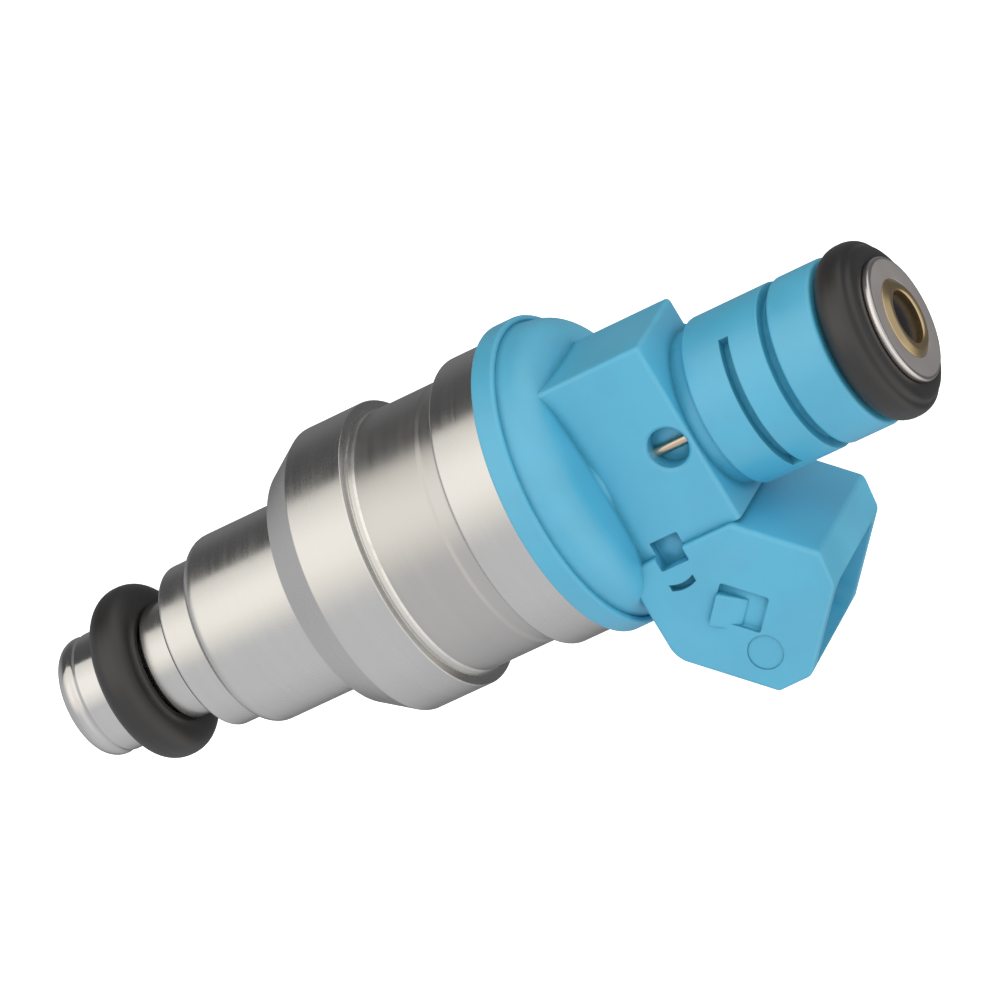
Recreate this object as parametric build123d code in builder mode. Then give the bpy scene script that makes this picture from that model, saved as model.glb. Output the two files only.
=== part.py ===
"""Electromagnetic fuel injector, built from its separate pieces.

Units are millimetres.  The origin is the centre of the nozzle end.  +Z runs along the injector
axis from the nozzle to the fuel inlet, and +X points to the side that carries the electrical socket.
"""

import os
from math import cos, radians, sin

from build123d import *

# ---------------------------------------------------------------- driving dimensions

# Rubber sealing rings, the same at both ends
O_RING_BORE = 7.52
O_RING_SECTION = 3.53
O_RING_SEAT_EASE = 0.01
O_RING_GROOVE_SPARE = 0.1

# Lengths of the outer steps, from the nozzle end to the inlet end
CAP_LENGTH = 4.6
NOSE_LENGTH = 3.25
STEP_LENGTH = 2.9
BARREL_LENGTH = 10.2
CONE_LENGTH = 3.1
BELT_LENGTH = 5.2
SHELL_BARE_LENGTH = 8.35
COLLAR_LENGTH = 4.65
FLANGE_LENGTH = 2.0
FLANGE_DOME_LENGTH = 3.1
BLOCK_LENGTH = 9.0
UNDERCUT_LENGTH = 1.3
NECK_LENGTH = 11.75
FLARE_LENGTH = 0.62

# Outer radii of the same steps
CAP_RADIUS = 5.03
NOSE_RADIUS = 4.86
STEP_RADIUS = 6.85
BARREL_RADIUS = 8.02
BARREL_FACE_RADIUS = 10.2
BELT_RADIUS = 12.13
SHELL_RADIUS = 11.13
COLLAR_RADIUS = 12.18
FLANGE_RADIUS = 13.02
NECK_RADIUS = 7.0
UNDERCUT_RADIUS = 6.4
FLARE_RADIUS = 5.2

# Edges that are rounded or relieved on the outside
CAP_ROUND = 1.3
CAP_LINE_HEIGHT = 1.5
CAP_LINE_WIDTH = 0.6
CAP_LINE_DEPTH = 0.25
STEP_ROUND = 0.4
BARREL_ROUND = 1.27
BELT_ROUND = 0.25
SHELL_RELIEF_LENGTH = 1.95
SHELL_RELIEF_DEPTH = 0.23
FLARE_ROUND = 0.3

# Nozzle and needle
TIP_START = 1.2
TIP_RADIUS = 3.75
SPRAY_HOLE_RADIUS = 1.6
ORIFICE_RADIUS = 0.55
ORIFICE_LENGTH = 1.0
GUIDE_RADIUS = 2.0
NEEDLE_RUNNING_GAP = 0.02
SEAT_GAP = 0.01
PINTLE_RADIUS = 0.45
PINTLE_OVERHANG = 0.45
STEM_RADIUS = 1.5
LAND_LENGTH = 2.4
NEEDLE_COLLAR_RADIUS = 2.9
NEEDLE_COLLAR_LENGTH = 1.0
NEEDLE_COLLAR_ROOM = 0.3
NEEDLE_LIFT = 0.1
NEEDLE_FLAT_DEPTH = 0.35
NEEDLE_FLAT_COUNT = 3

# Valve body where it is hidden in the housing
SPIGOT_RADIUS = 6.0
SPIGOT_LENGTH = 6.1
STOP_WASHER_THICKNESS = 1.5
STOP_WASHER_SLOT = 3.5
HOUSING_SEAL_SECTION = 0.8
HOUSING_SEAL_HEIGHT = 3.2
SEAL_GROOVE_SHARE = 1.2

# Armature, core and return spring
CORE_RADIUS = 4.3
ARMATURE_RUNNING_GAP = 0.05
ARMATURE_LENGTH = 9.0
ARMATURE_START_GAP = 1.5
RESIDUAL_AIR_GAP = 0.05
SPRING_POCKET_RADIUS = 2.1
SPRING_POCKET_DEPTH = 4.8
ARMATURE_EDGE_CUT = 0.3
FUEL_DUCT_COUNT = 4
FUEL_DUCT_WALL = 0.49
SPRING_COIL_RADIUS = 1.75
SPRING_WIRE_RADIUS = 0.24
SPRING_TURNS = 9
CORE_BORE_RADIUS = 2.5
SPRING_SEAT_DEPTH = 9.57
ADJUSTER_LENGTH = 14.0
ADJUSTER_BORE_RADIUS = 1.3
ADJUSTER_SPLIT = 0.6

# Solenoid
COIL_FLOOR_DEPTH = 4.2
SHELL_WALL = 1.2
SHELL_SOCKET_DEPTH = 3.3
SPACER_WALL = 1.0
SPACER_LENGTH = 6.2
BOBBIN_WALL = 0.75
BOBBIN_FLANGE = 1.0
BOBBIN_RADIUS = 9.7
BOBBIN_END_GAP = 0.4
WINDING_RADIUS = 9.3
COIL_SEAL_SECTION = 0.7
COIL_SEAL_HEIGHT = 8.5
FLUX_WASHER_THICKNESS = 2.0
COLLAR_LIP_LENGTH = 1.3
COLLAR_LIP_RADIUS = 9.0

# Fuel filter in the inlet
INLET_BORE_RADIUS = 3.27
FILTER_BORE_RADIUS = 2.2
FILTER_LENGTH = 16.2
FILTER_COLLAR_LENGTH = 6.3
FILTER_MOUTH_PROUD = 0.4
FILTER_CAGE_RADIUS = 3.1
FILTER_RIB_WIDTH = 0.8
FILTER_RIB_COUNT = 4
FILTER_END_LENGTH = 1.0
MESH_RADIUS = 2.7
MESH_WALL = 0.12

# Plastic overmould
FLANGE_LIP = 0.3
DOME_CREST_RADIUS = 9.8
DOME_BULGE = 0.55
BLOCK_TOP = 8.8
BLOCK_NEAR = 7.05
BLOCK_FAR = 3.2
WINDOW_RADIUS = 1.8
WINDOW_DEPTH = 2.3
WINDOW_END_GAP = 2.0
BLOCK_ROUND = 0.4
BLOCK_END_ROUND = 0.25
WINDOW_OFFSET = 0.35
NECK_SLOT_HEIGHT = 3.9
NECK_SLOT_WIDTH = 0.8
NECK_SLOT_DEPTH = 1.0
NECK_SLOT_HALF_ANGLE = 55
NECK_GROOVE_HEIGHT = 7.4
NECK_GROOVE_WIDTH = 0.8
NECK_GROOVE_DEPTH = 0.7

# Electrical socket
SOCKET_TILT = 44
SOCKET_REACH = 17.68
SOCKET_RISE = 10.4
SOCKET_WIDTH = 15.4
SOCKET_THICKNESS = 12.58
SOCKET_SIDE_WALL = 1.4
SOCKET_UPPER_WALL = 2.75
SOCKET_LOWER_WALL = 2.3
SOCKET_DEPTH = 9.5
SOCKET_CORNER = 1.2
SOCKET_FRONT_CUT = 2.1
SOCKET_HEEL_DROP = 1.55
SOCKET_HEEL_ROUND = 0.9
SOCKET_LEDGE = 7.0
SOCKET_RIM_SETBACK = 1.77
SOCKET_RIM_DROP = 2.37
SOCKET_EDGE_ROUND = 0.4
CATCH_DEPTH = 7.4
CATCH_RISE = -1.0
CATCH_LENGTH = 2.5
CATCH_HEIGHT = 2.8
CATCH_PROUD = 0.6
CATCH_POCKET = 0.45
CATCH_POCKET_BESIDE = 1.5
CATCH_POCKET_ABOVE = 0.8
CATCH_POCKET_FOOT = 0.5
NOTCH_RISE = 2.7
NOTCH_LENGTH = 2.8
NOTCH_REACH = 1.1
NOTCH_DEPTH = 1.6
SLIT_X = 9.7
SLIT_RISE = 2.3
SLIT_LENGTH = 2.2
SLIT_WIDTH = 0.55
SLIT_DEPTH = 0.8
SLIT_BOW = 0.25
MARK_DEPTH = 3.89
MARK_RISE = -3.37
MARK_RADIUS = 1.45
MARK_SUNK = 0.12

# Terminals and their leads
BLADE_PITCH = 5.0
BLADE_WIDTH = 2.8
BLADE_THICKNESS = 0.8
BLADE_RECESS = 3.2
BLADE_ROOT = 4.1
BLADE_TIP_CUT = 0.25
LEAD_RADIUS = 0.45
LEAD_SWING = 5.45
LEAD_X = -0.2
LEAD_CROSS_X = 4.2
LEAD_CROSS_Y = 3.9
LEAD_TOP_MARGIN = 0.85
LEAD_SEAT = 1.4
LEAD_STRAIGHT = 1.6
LEAD_BEND = 0.9
LEAD_HOLE_RADIUS = 0.7

# ---------------------------------------------------------------- stations along the axis

o_ring_radius = (O_RING_BORE + O_RING_SECTION) / 2
groove_floor = O_RING_BORE / 2 - O_RING_SEAT_EASE
groove_length = O_RING_SECTION + 2 * O_RING_GROOVE_SPARE

z_nose = CAP_LENGTH + groove_length
z_step = z_nose + NOSE_LENGTH
z_barrel = z_step + STEP_LENGTH
z_cone = z_barrel + BARREL_LENGTH
z_belt = z_cone + CONE_LENGTH
z_shell = z_belt + BELT_LENGTH
z_collar = z_shell + SHELL_BARE_LENGTH
z_flange = z_collar + COLLAR_LENGTH
z_dome = z_flange + FLANGE_LENGTH
z_block = z_dome + FLANGE_DOME_LENGTH
z_undercut = z_block + BLOCK_LENGTH
z_neck = z_undercut + UNDERCUT_LENGTH
z_inlet_groove = z_neck + NECK_LENGTH
z_flare = z_inlet_groove + groove_length
z_top = z_flare + FLARE_LENGTH

socket_z = z_block + SOCKET_RISE
z_heel = z_block - SOCKET_HEEL_DROP
z_notch = z_block + NOTCH_RISE
z_slit = z_block + SLIT_RISE

z_spigot_top = z_barrel + SPIGOT_LENGTH
z_washer_top = z_spigot_top + STOP_WASHER_THICKNESS
z_coil_floor = z_shell - COIL_FLOOR_DEPTH
z_shell_start = z_shell - SHELL_SOCKET_DEPTH
z_armature = z_washer_top + ARMATURE_START_GAP
z_armature_top = z_armature + ARMATURE_LENGTH
z_core = z_armature_top + NEEDLE_LIFT + RESIDUAL_AIR_GAP
z_lip = z_flange - COLLAR_LIP_LENGTH
z_flux_washer = z_lip - FLUX_WASHER_THICKNESS
z_bobbin_top = z_flux_washer - BOBBIN_END_GAP / 2
z_spacer_top = z_coil_floor + SPACER_LENGTH
z_adjuster = z_core + SPRING_SEAT_DEPTH
z_adjuster_top = z_adjuster + ADJUSTER_LENGTH
z_filter_mouth = z_top + FILTER_MOUTH_PROUD
z_filter = z_filter_mouth - FILTER_LENGTH
z_filter_collar = z_filter_mouth - FILTER_COLLAR_LENGTH
z_lead_top = z_neck + LEAD_TOP_MARGIN - LEAD_RADIUS

armature_radius = CORE_RADIUS - ARMATURE_RUNNING_GAP / 2
armature_bore = armature_radius + ARMATURE_RUNNING_GAP
spacer_radius = armature_bore + SPACER_WALL
shell_bore = SHELL_RADIUS - SHELL_WALL
seat_top = TIP_START + ORIFICE_LENGTH + GUIDE_RADIUS - ORIFICE_RADIUS
needle_land = GUIDE_RADIUS - NEEDLE_RUNNING_GAP


def turned(*corners):
    """Solid turned about the injector axis from its (radius, height) corners."""
    with BuildPart(mode=Mode.PRIVATE) as blank:
        with BuildSketch(Plane.XZ):
            with BuildLine():
                Polyline(*corners, close=True)
            make_face()
        revolve(axis=Axis.Z)
    return blank.part


def tube(inner, outer, bottom, top):
    """Plain round tube, or a disc where the inner radius is zero."""
    return turned((inner, bottom), (outer, bottom), (outer, top), (inner, top))


def ring(radius, section_radius, height):
    """Round-section ring about the injector axis."""
    with BuildPart(mode=Mode.PRIVATE) as blank:
        with BuildSketch(Plane.XZ):
            with Locations((radius, height)):
                Circle(section_radius)
        revolve(axis=Axis.Z)
    return blank.part


def rims(piece, radius, height):
    """Circular edges of a piece at one radius and height."""
    circles = piece.edges().filter_by(GeomType.CIRCLE)
    at_height = circles.filter_by(lambda edge: abs(edge.arc_center.Z - height) < 0.01)
    return at_height.filter_by(lambda edge: abs(edge.radius - radius) < 0.01)


def write(piece, name):
    """Label a finished piece and write it as its own STEP file."""
    piece.part.label = name
    export_step(piece.part, f"parts/{name}.step")


os.makedirs("parts", exist_ok=True)

# ---------------------------------------------------------------- nozzle end

with BuildPart() as nozzle_cap:
    add(tube(0, CAP_RADIUS, 0, CAP_LENGTH))
    fillet(rims(nozzle_cap, CAP_RADIUS, 0), CAP_ROUND)
    add(tube(0, TIP_RADIUS, TIP_START, CAP_LENGTH), mode=Mode.SUBTRACT)
    add(tube(0, SPRAY_HOLE_RADIUS, 0, TIP_START), mode=Mode.SUBTRACT)
    line_floor = CAP_RADIUS - CAP_LINE_DEPTH
    line_top = CAP_LINE_HEIGHT + CAP_LINE_WIDTH
    add(tube(line_floor, CAP_RADIUS, CAP_LINE_HEIGHT, line_top), mode=Mode.SUBTRACT)
write(nozzle_cap, "nozzle_cap")

with BuildPart() as valve_body:
    add(tube(0, TIP_RADIUS, TIP_START, CAP_LENGTH))
    add(tube(0, groove_floor, CAP_LENGTH, z_nose))
    add(tube(0, NOSE_RADIUS, z_nose, z_step))
    add(tube(0, STEP_RADIUS, z_step, z_barrel))
    add(tube(0, SPIGOT_RADIUS, z_barrel, z_spigot_top))
    fillet(rims(valve_body, STEP_RADIUS, z_step), STEP_ROUND)
    add(tube(0, ORIFICE_RADIUS, TIP_START, seat_top), mode=Mode.SUBTRACT)
    seat_bottom = TIP_START + ORIFICE_LENGTH
    add(turned((0, seat_bottom), (ORIFICE_RADIUS, seat_bottom), (GUIDE_RADIUS, seat_top), (0, seat_top)),
        mode=Mode.SUBTRACT)
    add(tube(0, GUIDE_RADIUS, seat_top, z_spigot_top), mode=Mode.SUBTRACT)
    collar_floor = z_spigot_top - NEEDLE_LIFT - NEEDLE_COLLAR_LENGTH - NEEDLE_COLLAR_ROOM
    collar_bore = NEEDLE_COLLAR_RADIUS + NEEDLE_COLLAR_ROOM
    add(tube(0, collar_bore, collar_floor, z_spigot_top), mode=Mode.SUBTRACT)
    z_housing_seal = z_barrel + HOUSING_SEAL_HEIGHT
    seal_floor = SPIGOT_RADIUS - HOUSING_SEAL_SECTION
    seal_half = HOUSING_SEAL_SECTION * SEAL_GROOVE_SHARE / 2
    add(tube(seal_floor, SPIGOT_RADIUS, z_housing_seal - seal_half, z_housing_seal + seal_half),
        mode=Mode.SUBTRACT)
write(valve_body, "valve_body")

with BuildPart() as needle:
    pintle_bottom = TIP_START - PINTLE_OVERHANG
    cone_bottom = TIP_START + ORIFICE_LENGTH + SEAT_GAP
    cone_top = cone_bottom + needle_land - ORIFICE_RADIUS
    land_top = cone_top + LAND_LENGTH
    needle_collar_top = z_spigot_top - NEEDLE_LIFT
    needle_collar_bottom = needle_collar_top - NEEDLE_COLLAR_LENGTH
    guide_top = collar_floor - NEEDLE_COLLAR_ROOM
    guide_bottom = guide_top - LAND_LENGTH
    stem_top = z_armature_top - SPRING_POCKET_DEPTH
    add(tube(0, PINTLE_RADIUS, pintle_bottom, cone_bottom))
    add(turned((0, cone_bottom), (ORIFICE_RADIUS, cone_bottom), (needle_land, cone_top), (0, cone_top)))
    add(tube(0, needle_land, cone_top, land_top))
    add(tube(0, STEM_RADIUS, land_top, stem_top))
    add(tube(0, needle_land, guide_bottom, guide_top))
    add(tube(0, NEEDLE_COLLAR_RADIUS, needle_collar_bottom, needle_collar_top))
    for flat_bottom in (cone_top, guide_bottom):
        with BuildSketch(Plane.XY.offset(flat_bottom)):
            with PolarLocations(needle_land, NEEDLE_FLAT_COUNT):
                Rectangle(2 * NEEDLE_FLAT_DEPTH, 2 * needle_land)
        extrude(amount=LAND_LENGTH, mode=Mode.SUBTRACT)
write(needle, "needle")

with BuildPart() as lift_stop_washer:
    add(tube(0, SPIGOT_RADIUS, z_spigot_top, z_washer_top))
    with BuildSketch(Plane.XY.offset(z_spigot_top)):
        Circle(STOP_WASHER_SLOT / 2)
        with Locations((0, SPIGOT_RADIUS)):
            Rectangle(STOP_WASHER_SLOT, 2 * SPIGOT_RADIUS)
    extrude(amount=STOP_WASHER_THICKNESS, mode=Mode.SUBTRACT)
write(lift_stop_washer, "lift_stop_washer")

with BuildPart() as housing_seal:
    seal_radius = SPIGOT_RADIUS - HOUSING_SEAL_SECTION / 2
    add(ring(seal_radius, HOUSING_SEAL_SECTION / 2, z_housing_seal))
write(housing_seal, "housing_seal")

# ---------------------------------------------------------------- housing and solenoid shell

with BuildPart() as lower_housing:
    add(tube(0, BARREL_RADIUS, z_barrel, z_cone))
    fillet(rims(lower_housing, BARREL_RADIUS, z_barrel), BARREL_ROUND)
    add(turned((0, z_cone), (BARREL_FACE_RADIUS, z_cone), (BELT_RADIUS, z_belt),
               (BELT_RADIUS, z_shell), (0, z_shell)))
    fillet(rims(lower_housing, BELT_RADIUS, z_belt), BELT_ROUND)
    add(tube(0, SPIGOT_RADIUS, z_barrel, z_washer_top), mode=Mode.SUBTRACT)
    add(tube(0, armature_bore, z_washer_top, z_coil_floor), mode=Mode.SUBTRACT)
    add(tube(0, shell_bore, z_coil_floor, z_shell), mode=Mode.SUBTRACT)
    add(tube(0, SHELL_RADIUS, z_shell_start, z_shell), mode=Mode.SUBTRACT)
write(lower_housing, "lower_housing")

with BuildPart() as solenoid_shell:
    add(tube(shell_bore, SHELL_RADIUS, z_shell_start, z_lip))
    relief_floor = SHELL_RADIUS - SHELL_RELIEF_DEPTH
    relief_start = z_collar - SHELL_RELIEF_LENGTH
    add(tube(relief_floor, SHELL_RADIUS, relief_start, z_collar), mode=Mode.SUBTRACT)
write(solenoid_shell, "solenoid_shell")

with BuildPart() as crimp_collar:
    add(tube(SHELL_RADIUS, COLLAR_RADIUS, z_collar, z_flange))
    add(tube(COLLAR_LIP_RADIUS, COLLAR_RADIUS, z_lip, z_flange))
write(crimp_collar, "crimp_collar")

with BuildPart() as flux_washer:
    add(tube(CORE_RADIUS, shell_bore, z_flux_washer, z_lip))
    with BuildSketch(Plane.XY.offset(z_flux_washer)):
        with Locations((LEAD_X, -LEAD_SWING), (LEAD_X, LEAD_SWING)):
            Circle(LEAD_HOLE_RADIUS)
    extrude(amount=FLUX_WASHER_THICKNESS, mode=Mode.SUBTRACT)
write(flux_washer, "flux_washer")

with BuildPart() as spacer_ring:
    add(tube(armature_bore, spacer_radius, z_coil_floor, z_spacer_top))
    add(tube(CORE_RADIUS, spacer_radius, z_core, z_spacer_top))
write(spacer_ring, "spacer_ring")

with BuildPart() as coil_bobbin:
    bobbin_bottom = z_coil_floor + BOBBIN_END_GAP / 2
    drum_radius = spacer_radius + BOBBIN_WALL
    add(tube(0, BOBBIN_RADIUS, bobbin_bottom, bobbin_bottom + BOBBIN_FLANGE))
    add(tube(0, drum_radius, bobbin_bottom, z_bobbin_top))
    add(tube(0, BOBBIN_RADIUS, z_bobbin_top - BOBBIN_FLANGE, z_bobbin_top))
    add(tube(0, spacer_radius, bobbin_bottom, z_spacer_top), mode=Mode.SUBTRACT)
    add(tube(0, CORE_RADIUS, z_spacer_top, z_bobbin_top), mode=Mode.SUBTRACT)
    seal_corner = spacer_radius + COIL_SEAL_SECTION
    seal_corner_top = bobbin_bottom + COIL_SEAL_SECTION
    add(tube(0, seal_corner, bobbin_bottom, seal_corner_top), mode=Mode.SUBTRACT)
    z_upper_seal = z_coil_floor + COIL_SEAL_HEIGHT
    upper_seal_outer = CORE_RADIUS + COIL_SEAL_SECTION
    upper_seal_half = COIL_SEAL_SECTION * SEAL_GROOVE_SHARE / 2
    add(tube(0, upper_seal_outer, z_upper_seal - upper_seal_half, z_upper_seal + upper_seal_half),
        mode=Mode.SUBTRACT)
    with BuildSketch(Plane.XY.offset(z_bobbin_top - LEAD_SEAT)):
        with Locations((LEAD_X, -LEAD_SWING), (LEAD_X, LEAD_SWING)):
            Circle(LEAD_RADIUS)
    extrude(amount=LEAD_SEAT, mode=Mode.SUBTRACT)
write(coil_bobbin, "coil_bobbin")

with BuildPart() as coil_winding:
    add(tube(drum_radius, WINDING_RADIUS, bobbin_bottom + BOBBIN_FLANGE, z_bobbin_top - BOBBIN_FLANGE))
write(coil_winding, "coil_winding")

with BuildPart() as coil_seal_lower:
    lower_seal_radius = spacer_radius + COIL_SEAL_SECTION / 2
    add(ring(lower_seal_radius, COIL_SEAL_SECTION / 2, z_coil_floor + COIL_SEAL_SECTION / 2))
write(coil_seal_lower, "coil_seal_lower")

with BuildPart() as coil_seal_upper:
    add(ring(CORE_RADIUS + COIL_SEAL_SECTION / 2, COIL_SEAL_SECTION / 2, z_upper_seal))
write(coil_seal_upper, "coil_seal_upper")

# ---------------------------------------------------------------- moving armature and its spring

with BuildPart() as armature:
    add(tube(0, armature_radius, z_armature, z_armature_top))
    add(tube(0, STEM_RADIUS, z_armature, stem_top), mode=Mode.SUBTRACT)
    add(tube(0, SPRING_POCKET_RADIUS, stem_top, z_armature_top), mode=Mode.SUBTRACT)
    duct_offset = (STEM_RADIUS + armature_radius) / 2
    duct_radius = (armature_radius - STEM_RADIUS) / 2 - FUEL_DUCT_WALL
    with BuildSketch(Plane.XY.offset(z_armature)):
        with PolarLocations(duct_offset, FUEL_DUCT_COUNT):
            Circle(duct_radius)
    extrude(amount=ARMATURE_LENGTH, mode=Mode.SUBTRACT)
    chamfer(rims(armature, armature_radius, z_armature), ARMATURE_EDGE_CUT)
write(armature, "armature")

with BuildPart() as return_spring:
    spring_bottom = stem_top + SPRING_WIRE_RADIUS
    spring_top = z_adjuster - SPRING_WIRE_RADIUS
    spring_pitch = (spring_top - spring_bottom) / SPRING_TURNS
    with BuildLine():
        coil = Helix(spring_pitch, spring_top - spring_bottom, SPRING_COIL_RADIUS,
                     center=(0, 0, spring_bottom))
    with BuildSketch(Plane(coil @ 0, z_dir=coil % 0)):
        Circle(SPRING_WIRE_RADIUS)
    sweep(path=coil, is_frenet=True)
write(return_spring, "return_spring")

# ---------------------------------------------------------------- inlet tube and filter

with BuildPart() as inlet_tube:
    add(tube(0, CORE_RADIUS, z_core, z_inlet_groove))
    add(tube(0, groove_floor, z_inlet_groove, z_flare))
    add(tube(0, FLARE_RADIUS, z_flare, z_top))
    fillet(rims(inlet_tube, FLARE_RADIUS, z_top), FLARE_ROUND)
    add(tube(0, CORE_BORE_RADIUS, z_core, z_filter), mode=Mode.SUBTRACT)
    bore_step = z_filter - FILTER_END_LENGTH / 2
    add(tube(0, INLET_BORE_RADIUS, bore_step, z_top), mode=Mode.SUBTRACT)
write(inlet_tube, "inlet_tube")

with BuildPart() as adjuster_sleeve:
    add(tube(ADJUSTER_BORE_RADIUS, CORE_BORE_RADIUS, z_adjuster, z_adjuster_top))
    with BuildSketch(Plane.XY.offset(z_adjuster)):
        with Locations((CORE_BORE_RADIUS, 0)):
            Rectangle(2 * CORE_BORE_RADIUS, ADJUSTER_SPLIT)
    extrude(amount=ADJUSTER_LENGTH, mode=Mode.SUBTRACT)
write(adjuster_sleeve, "adjuster_sleeve")

with BuildPart() as filter_collar:
    add(tube(FILTER_BORE_RADIUS, INLET_BORE_RADIUS, z_filter_collar, z_filter_mouth))
    fillet(rims(filter_collar, INLET_BORE_RADIUS, z_filter_mouth), FILTER_MOUTH_PROUD)
write(filter_collar, "filter_collar")

with BuildPart() as filter_cage:
    cage_bore = MESH_RADIUS + MESH_WALL
    add(tube(0, FILTER_CAGE_RADIUS, z_filter, z_filter + FILTER_END_LENGTH))
    add(tube(MESH_RADIUS, FILTER_CAGE_RADIUS, z_filter_collar - FILTER_END_LENGTH, z_filter_collar))
    with BuildSketch(Plane.XY.offset(z_filter)):
        with PolarLocations((cage_bore + FILTER_CAGE_RADIUS) / 2, FILTER_RIB_COUNT):
            Rectangle(FILTER_CAGE_RADIUS - cage_bore, FILTER_RIB_WIDTH)
    extrude(amount=z_filter_collar - z_filter)
write(filter_cage, "filter_cage")

with BuildPart() as filter_mesh:
    add(tube(MESH_RADIUS, cage_bore, z_filter + FILTER_END_LENGTH, z_filter_collar - FILTER_END_LENGTH))
write(filter_mesh, "filter_mesh")

# ---------------------------------------------------------------- terminals and coil leads

tilt = radians(SOCKET_TILT)
outward = Vector(sin(tilt), 0, cos(tilt))
socket_plane = Plane(origin=(SOCKET_REACH, 0, socket_z), x_dir=(0, 1, 0), z_dir=outward)
cavity_rise = (SOCKET_LOWER_WALL - SOCKET_UPPER_WALL) / 2
root_depth = SOCKET_DEPTH + BLADE_ROOT


def on_socket(depth, rise):
    """(X, Z) of a point behind the socket's mouth, the rise being towards the injector."""
    x = SOCKET_REACH - depth * sin(tilt) - rise * cos(tilt)
    z = socket_z - depth * cos(tilt) + rise * sin(tilt)
    return x, z


def blade(side):
    """Flat terminal blade on one side of the middle plane."""
    with BuildPart(mode=Mode.PRIVATE) as blank:
        with BuildSketch(socket_plane.offset(-root_depth)):
            with Locations((side * BLADE_PITCH / 2, cavity_rise)):
                Rectangle(BLADE_WIDTH, BLADE_THICKNESS)
        extrude(amount=root_depth - BLADE_RECESS)
        tip = blank.faces().sort_by(Axis((0, 0, 0), outward))[-1]
        chamfer(tip.edges(), BLADE_TIP_CUT)
    return blank.part


def lead(side):
    """Bent round wire from the coil bobbin over the core to the root of one blade."""
    end_x, end_z = on_socket(root_depth, cavity_rise)
    turn_x, turn_z = on_socket(root_depth + LEAD_STRAIGHT, cavity_rise)
    blade_y = side * BLADE_PITCH / 2
    route = [
        (LEAD_X, side * LEAD_SWING, z_bobbin_top - LEAD_SEAT),
        (LEAD_X, side * LEAD_SWING, z_lead_top),
        (LEAD_CROSS_X, side * LEAD_CROSS_Y, z_lead_top),
        (LEAD_CROSS_X, side * LEAD_CROSS_Y, turn_z),
        (turn_x, blade_y, turn_z),
        (end_x, blade_y, end_z),
    ]
    with BuildPart(mode=Mode.PRIVATE) as blank:
        with BuildLine():
            path = FilletPolyline(*route, radius=LEAD_BEND)
        with BuildSketch(Plane(path @ 0, z_dir=path % 0)):
            Circle(LEAD_RADIUS)
        sweep(path=path)
    return blank.part


with BuildPart() as terminal_near:
    add(blade(-1))
write(terminal_near, "terminal_near")

with BuildPart() as terminal_far:
    add(blade(1))
write(terminal_far, "terminal_far")

with BuildPart() as coil_lead_near:
    add(lead(-1))
write(coil_lead_near, "coil_lead_near")

with BuildPart() as coil_lead_far:
    add(lead(1))
write(coil_lead_far, "coil_lead_far")

# ---------------------------------------------------------------- plastic overmould


def dome():
    """Rounded front of the flange, turned about the injector axis."""
    foot = Vector(FLANGE_RADIUS - FLANGE_LIP, z_dome)
    crest = Vector(DOME_CREST_RADIUS, z_block)
    chord = crest - foot
    bulge = Vector(chord.Y, -chord.X).normalized() * DOME_BULGE
    middle = (foot + crest) / 2 + bulge
    with BuildPart(mode=Mode.PRIVATE) as blank:
        with BuildSketch(Plane.XZ):
            with BuildLine():
                Polyline((crest.X, crest.Y), (0, z_block), (0, z_dome), (foot.X, foot.Y))
                ThreePointArc((foot.X, foot.Y), (middle.X, middle.Y), (crest.X, crest.Y))
            make_face()
        revolve(axis=Axis.Z)
    return blank.part


def block():
    """Flat-sided block between the flange and the neck."""
    with BuildPart(mode=Mode.PRIVATE) as blank:
        with BuildSketch(Plane.XY.offset(z_dome)):
            with Locations(((SOCKET_LEDGE - BLOCK_TOP) / 2, (BLOCK_FAR - BLOCK_NEAR) / 2)):
                Rectangle(SOCKET_LEDGE + BLOCK_TOP, BLOCK_NEAR + BLOCK_FAR)
        extrude(amount=z_undercut - z_dome)
        fillet(blank.edges().filter_by(Axis.Z).group_by(Axis.X)[0], BLOCK_ROUND)
        end_edges = blank.edges().group_by(Axis.Z)[-1]
        fillet(end_edges.sort_by(Axis.X)[:-1], BLOCK_END_ROUND)
    return blank.part


def socket_shroud():
    """Solid outside of the electrical socket, before its cavity is cut."""
    half = SOCKET_THICKNESS / 2
    heel_depth = (socket_z - z_heel - half * sin(tilt)) / cos(tilt)
    ledge_depth = (SOCKET_REACH - SOCKET_LEDGE - half * cos(tilt)) / sin(tilt)
    heel = on_socket(heel_depth, -half)
    outline = [
        (SOCKET_LEDGE, z_heel),
        heel,
        on_socket(SOCKET_FRONT_CUT, -half),
        on_socket(0, SOCKET_FRONT_CUT - half),
        on_socket(0, half - SOCKET_RIM_DROP),
        on_socket(SOCKET_RIM_SETBACK, half),
        on_socket(ledge_depth, half),
    ]
    with BuildPart(mode=Mode.PRIVATE) as blank:
        with BuildSketch(Plane.XZ) as side_view:
            with BuildLine():
                Polyline(*outline, close=True)
            make_face()
            fillet(side_view.vertices().sort_by_distance((heel[0], 0, heel[1]))[0], SOCKET_HEEL_ROUND)
        extrude(amount=SOCKET_WIDTH / 2, both=True)
        upper_x, upper_z = on_socket((SOCKET_RIM_SETBACK + ledge_depth) / 2, half)
        upper_edges = [
            blank.edges().sort_by_distance((upper_x, side * SOCKET_WIDTH / 2, upper_z))[0]
            for side in (-1, 1)
        ]
        fillet(upper_edges, SOCKET_EDGE_ROUND)
    return blank.part


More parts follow.
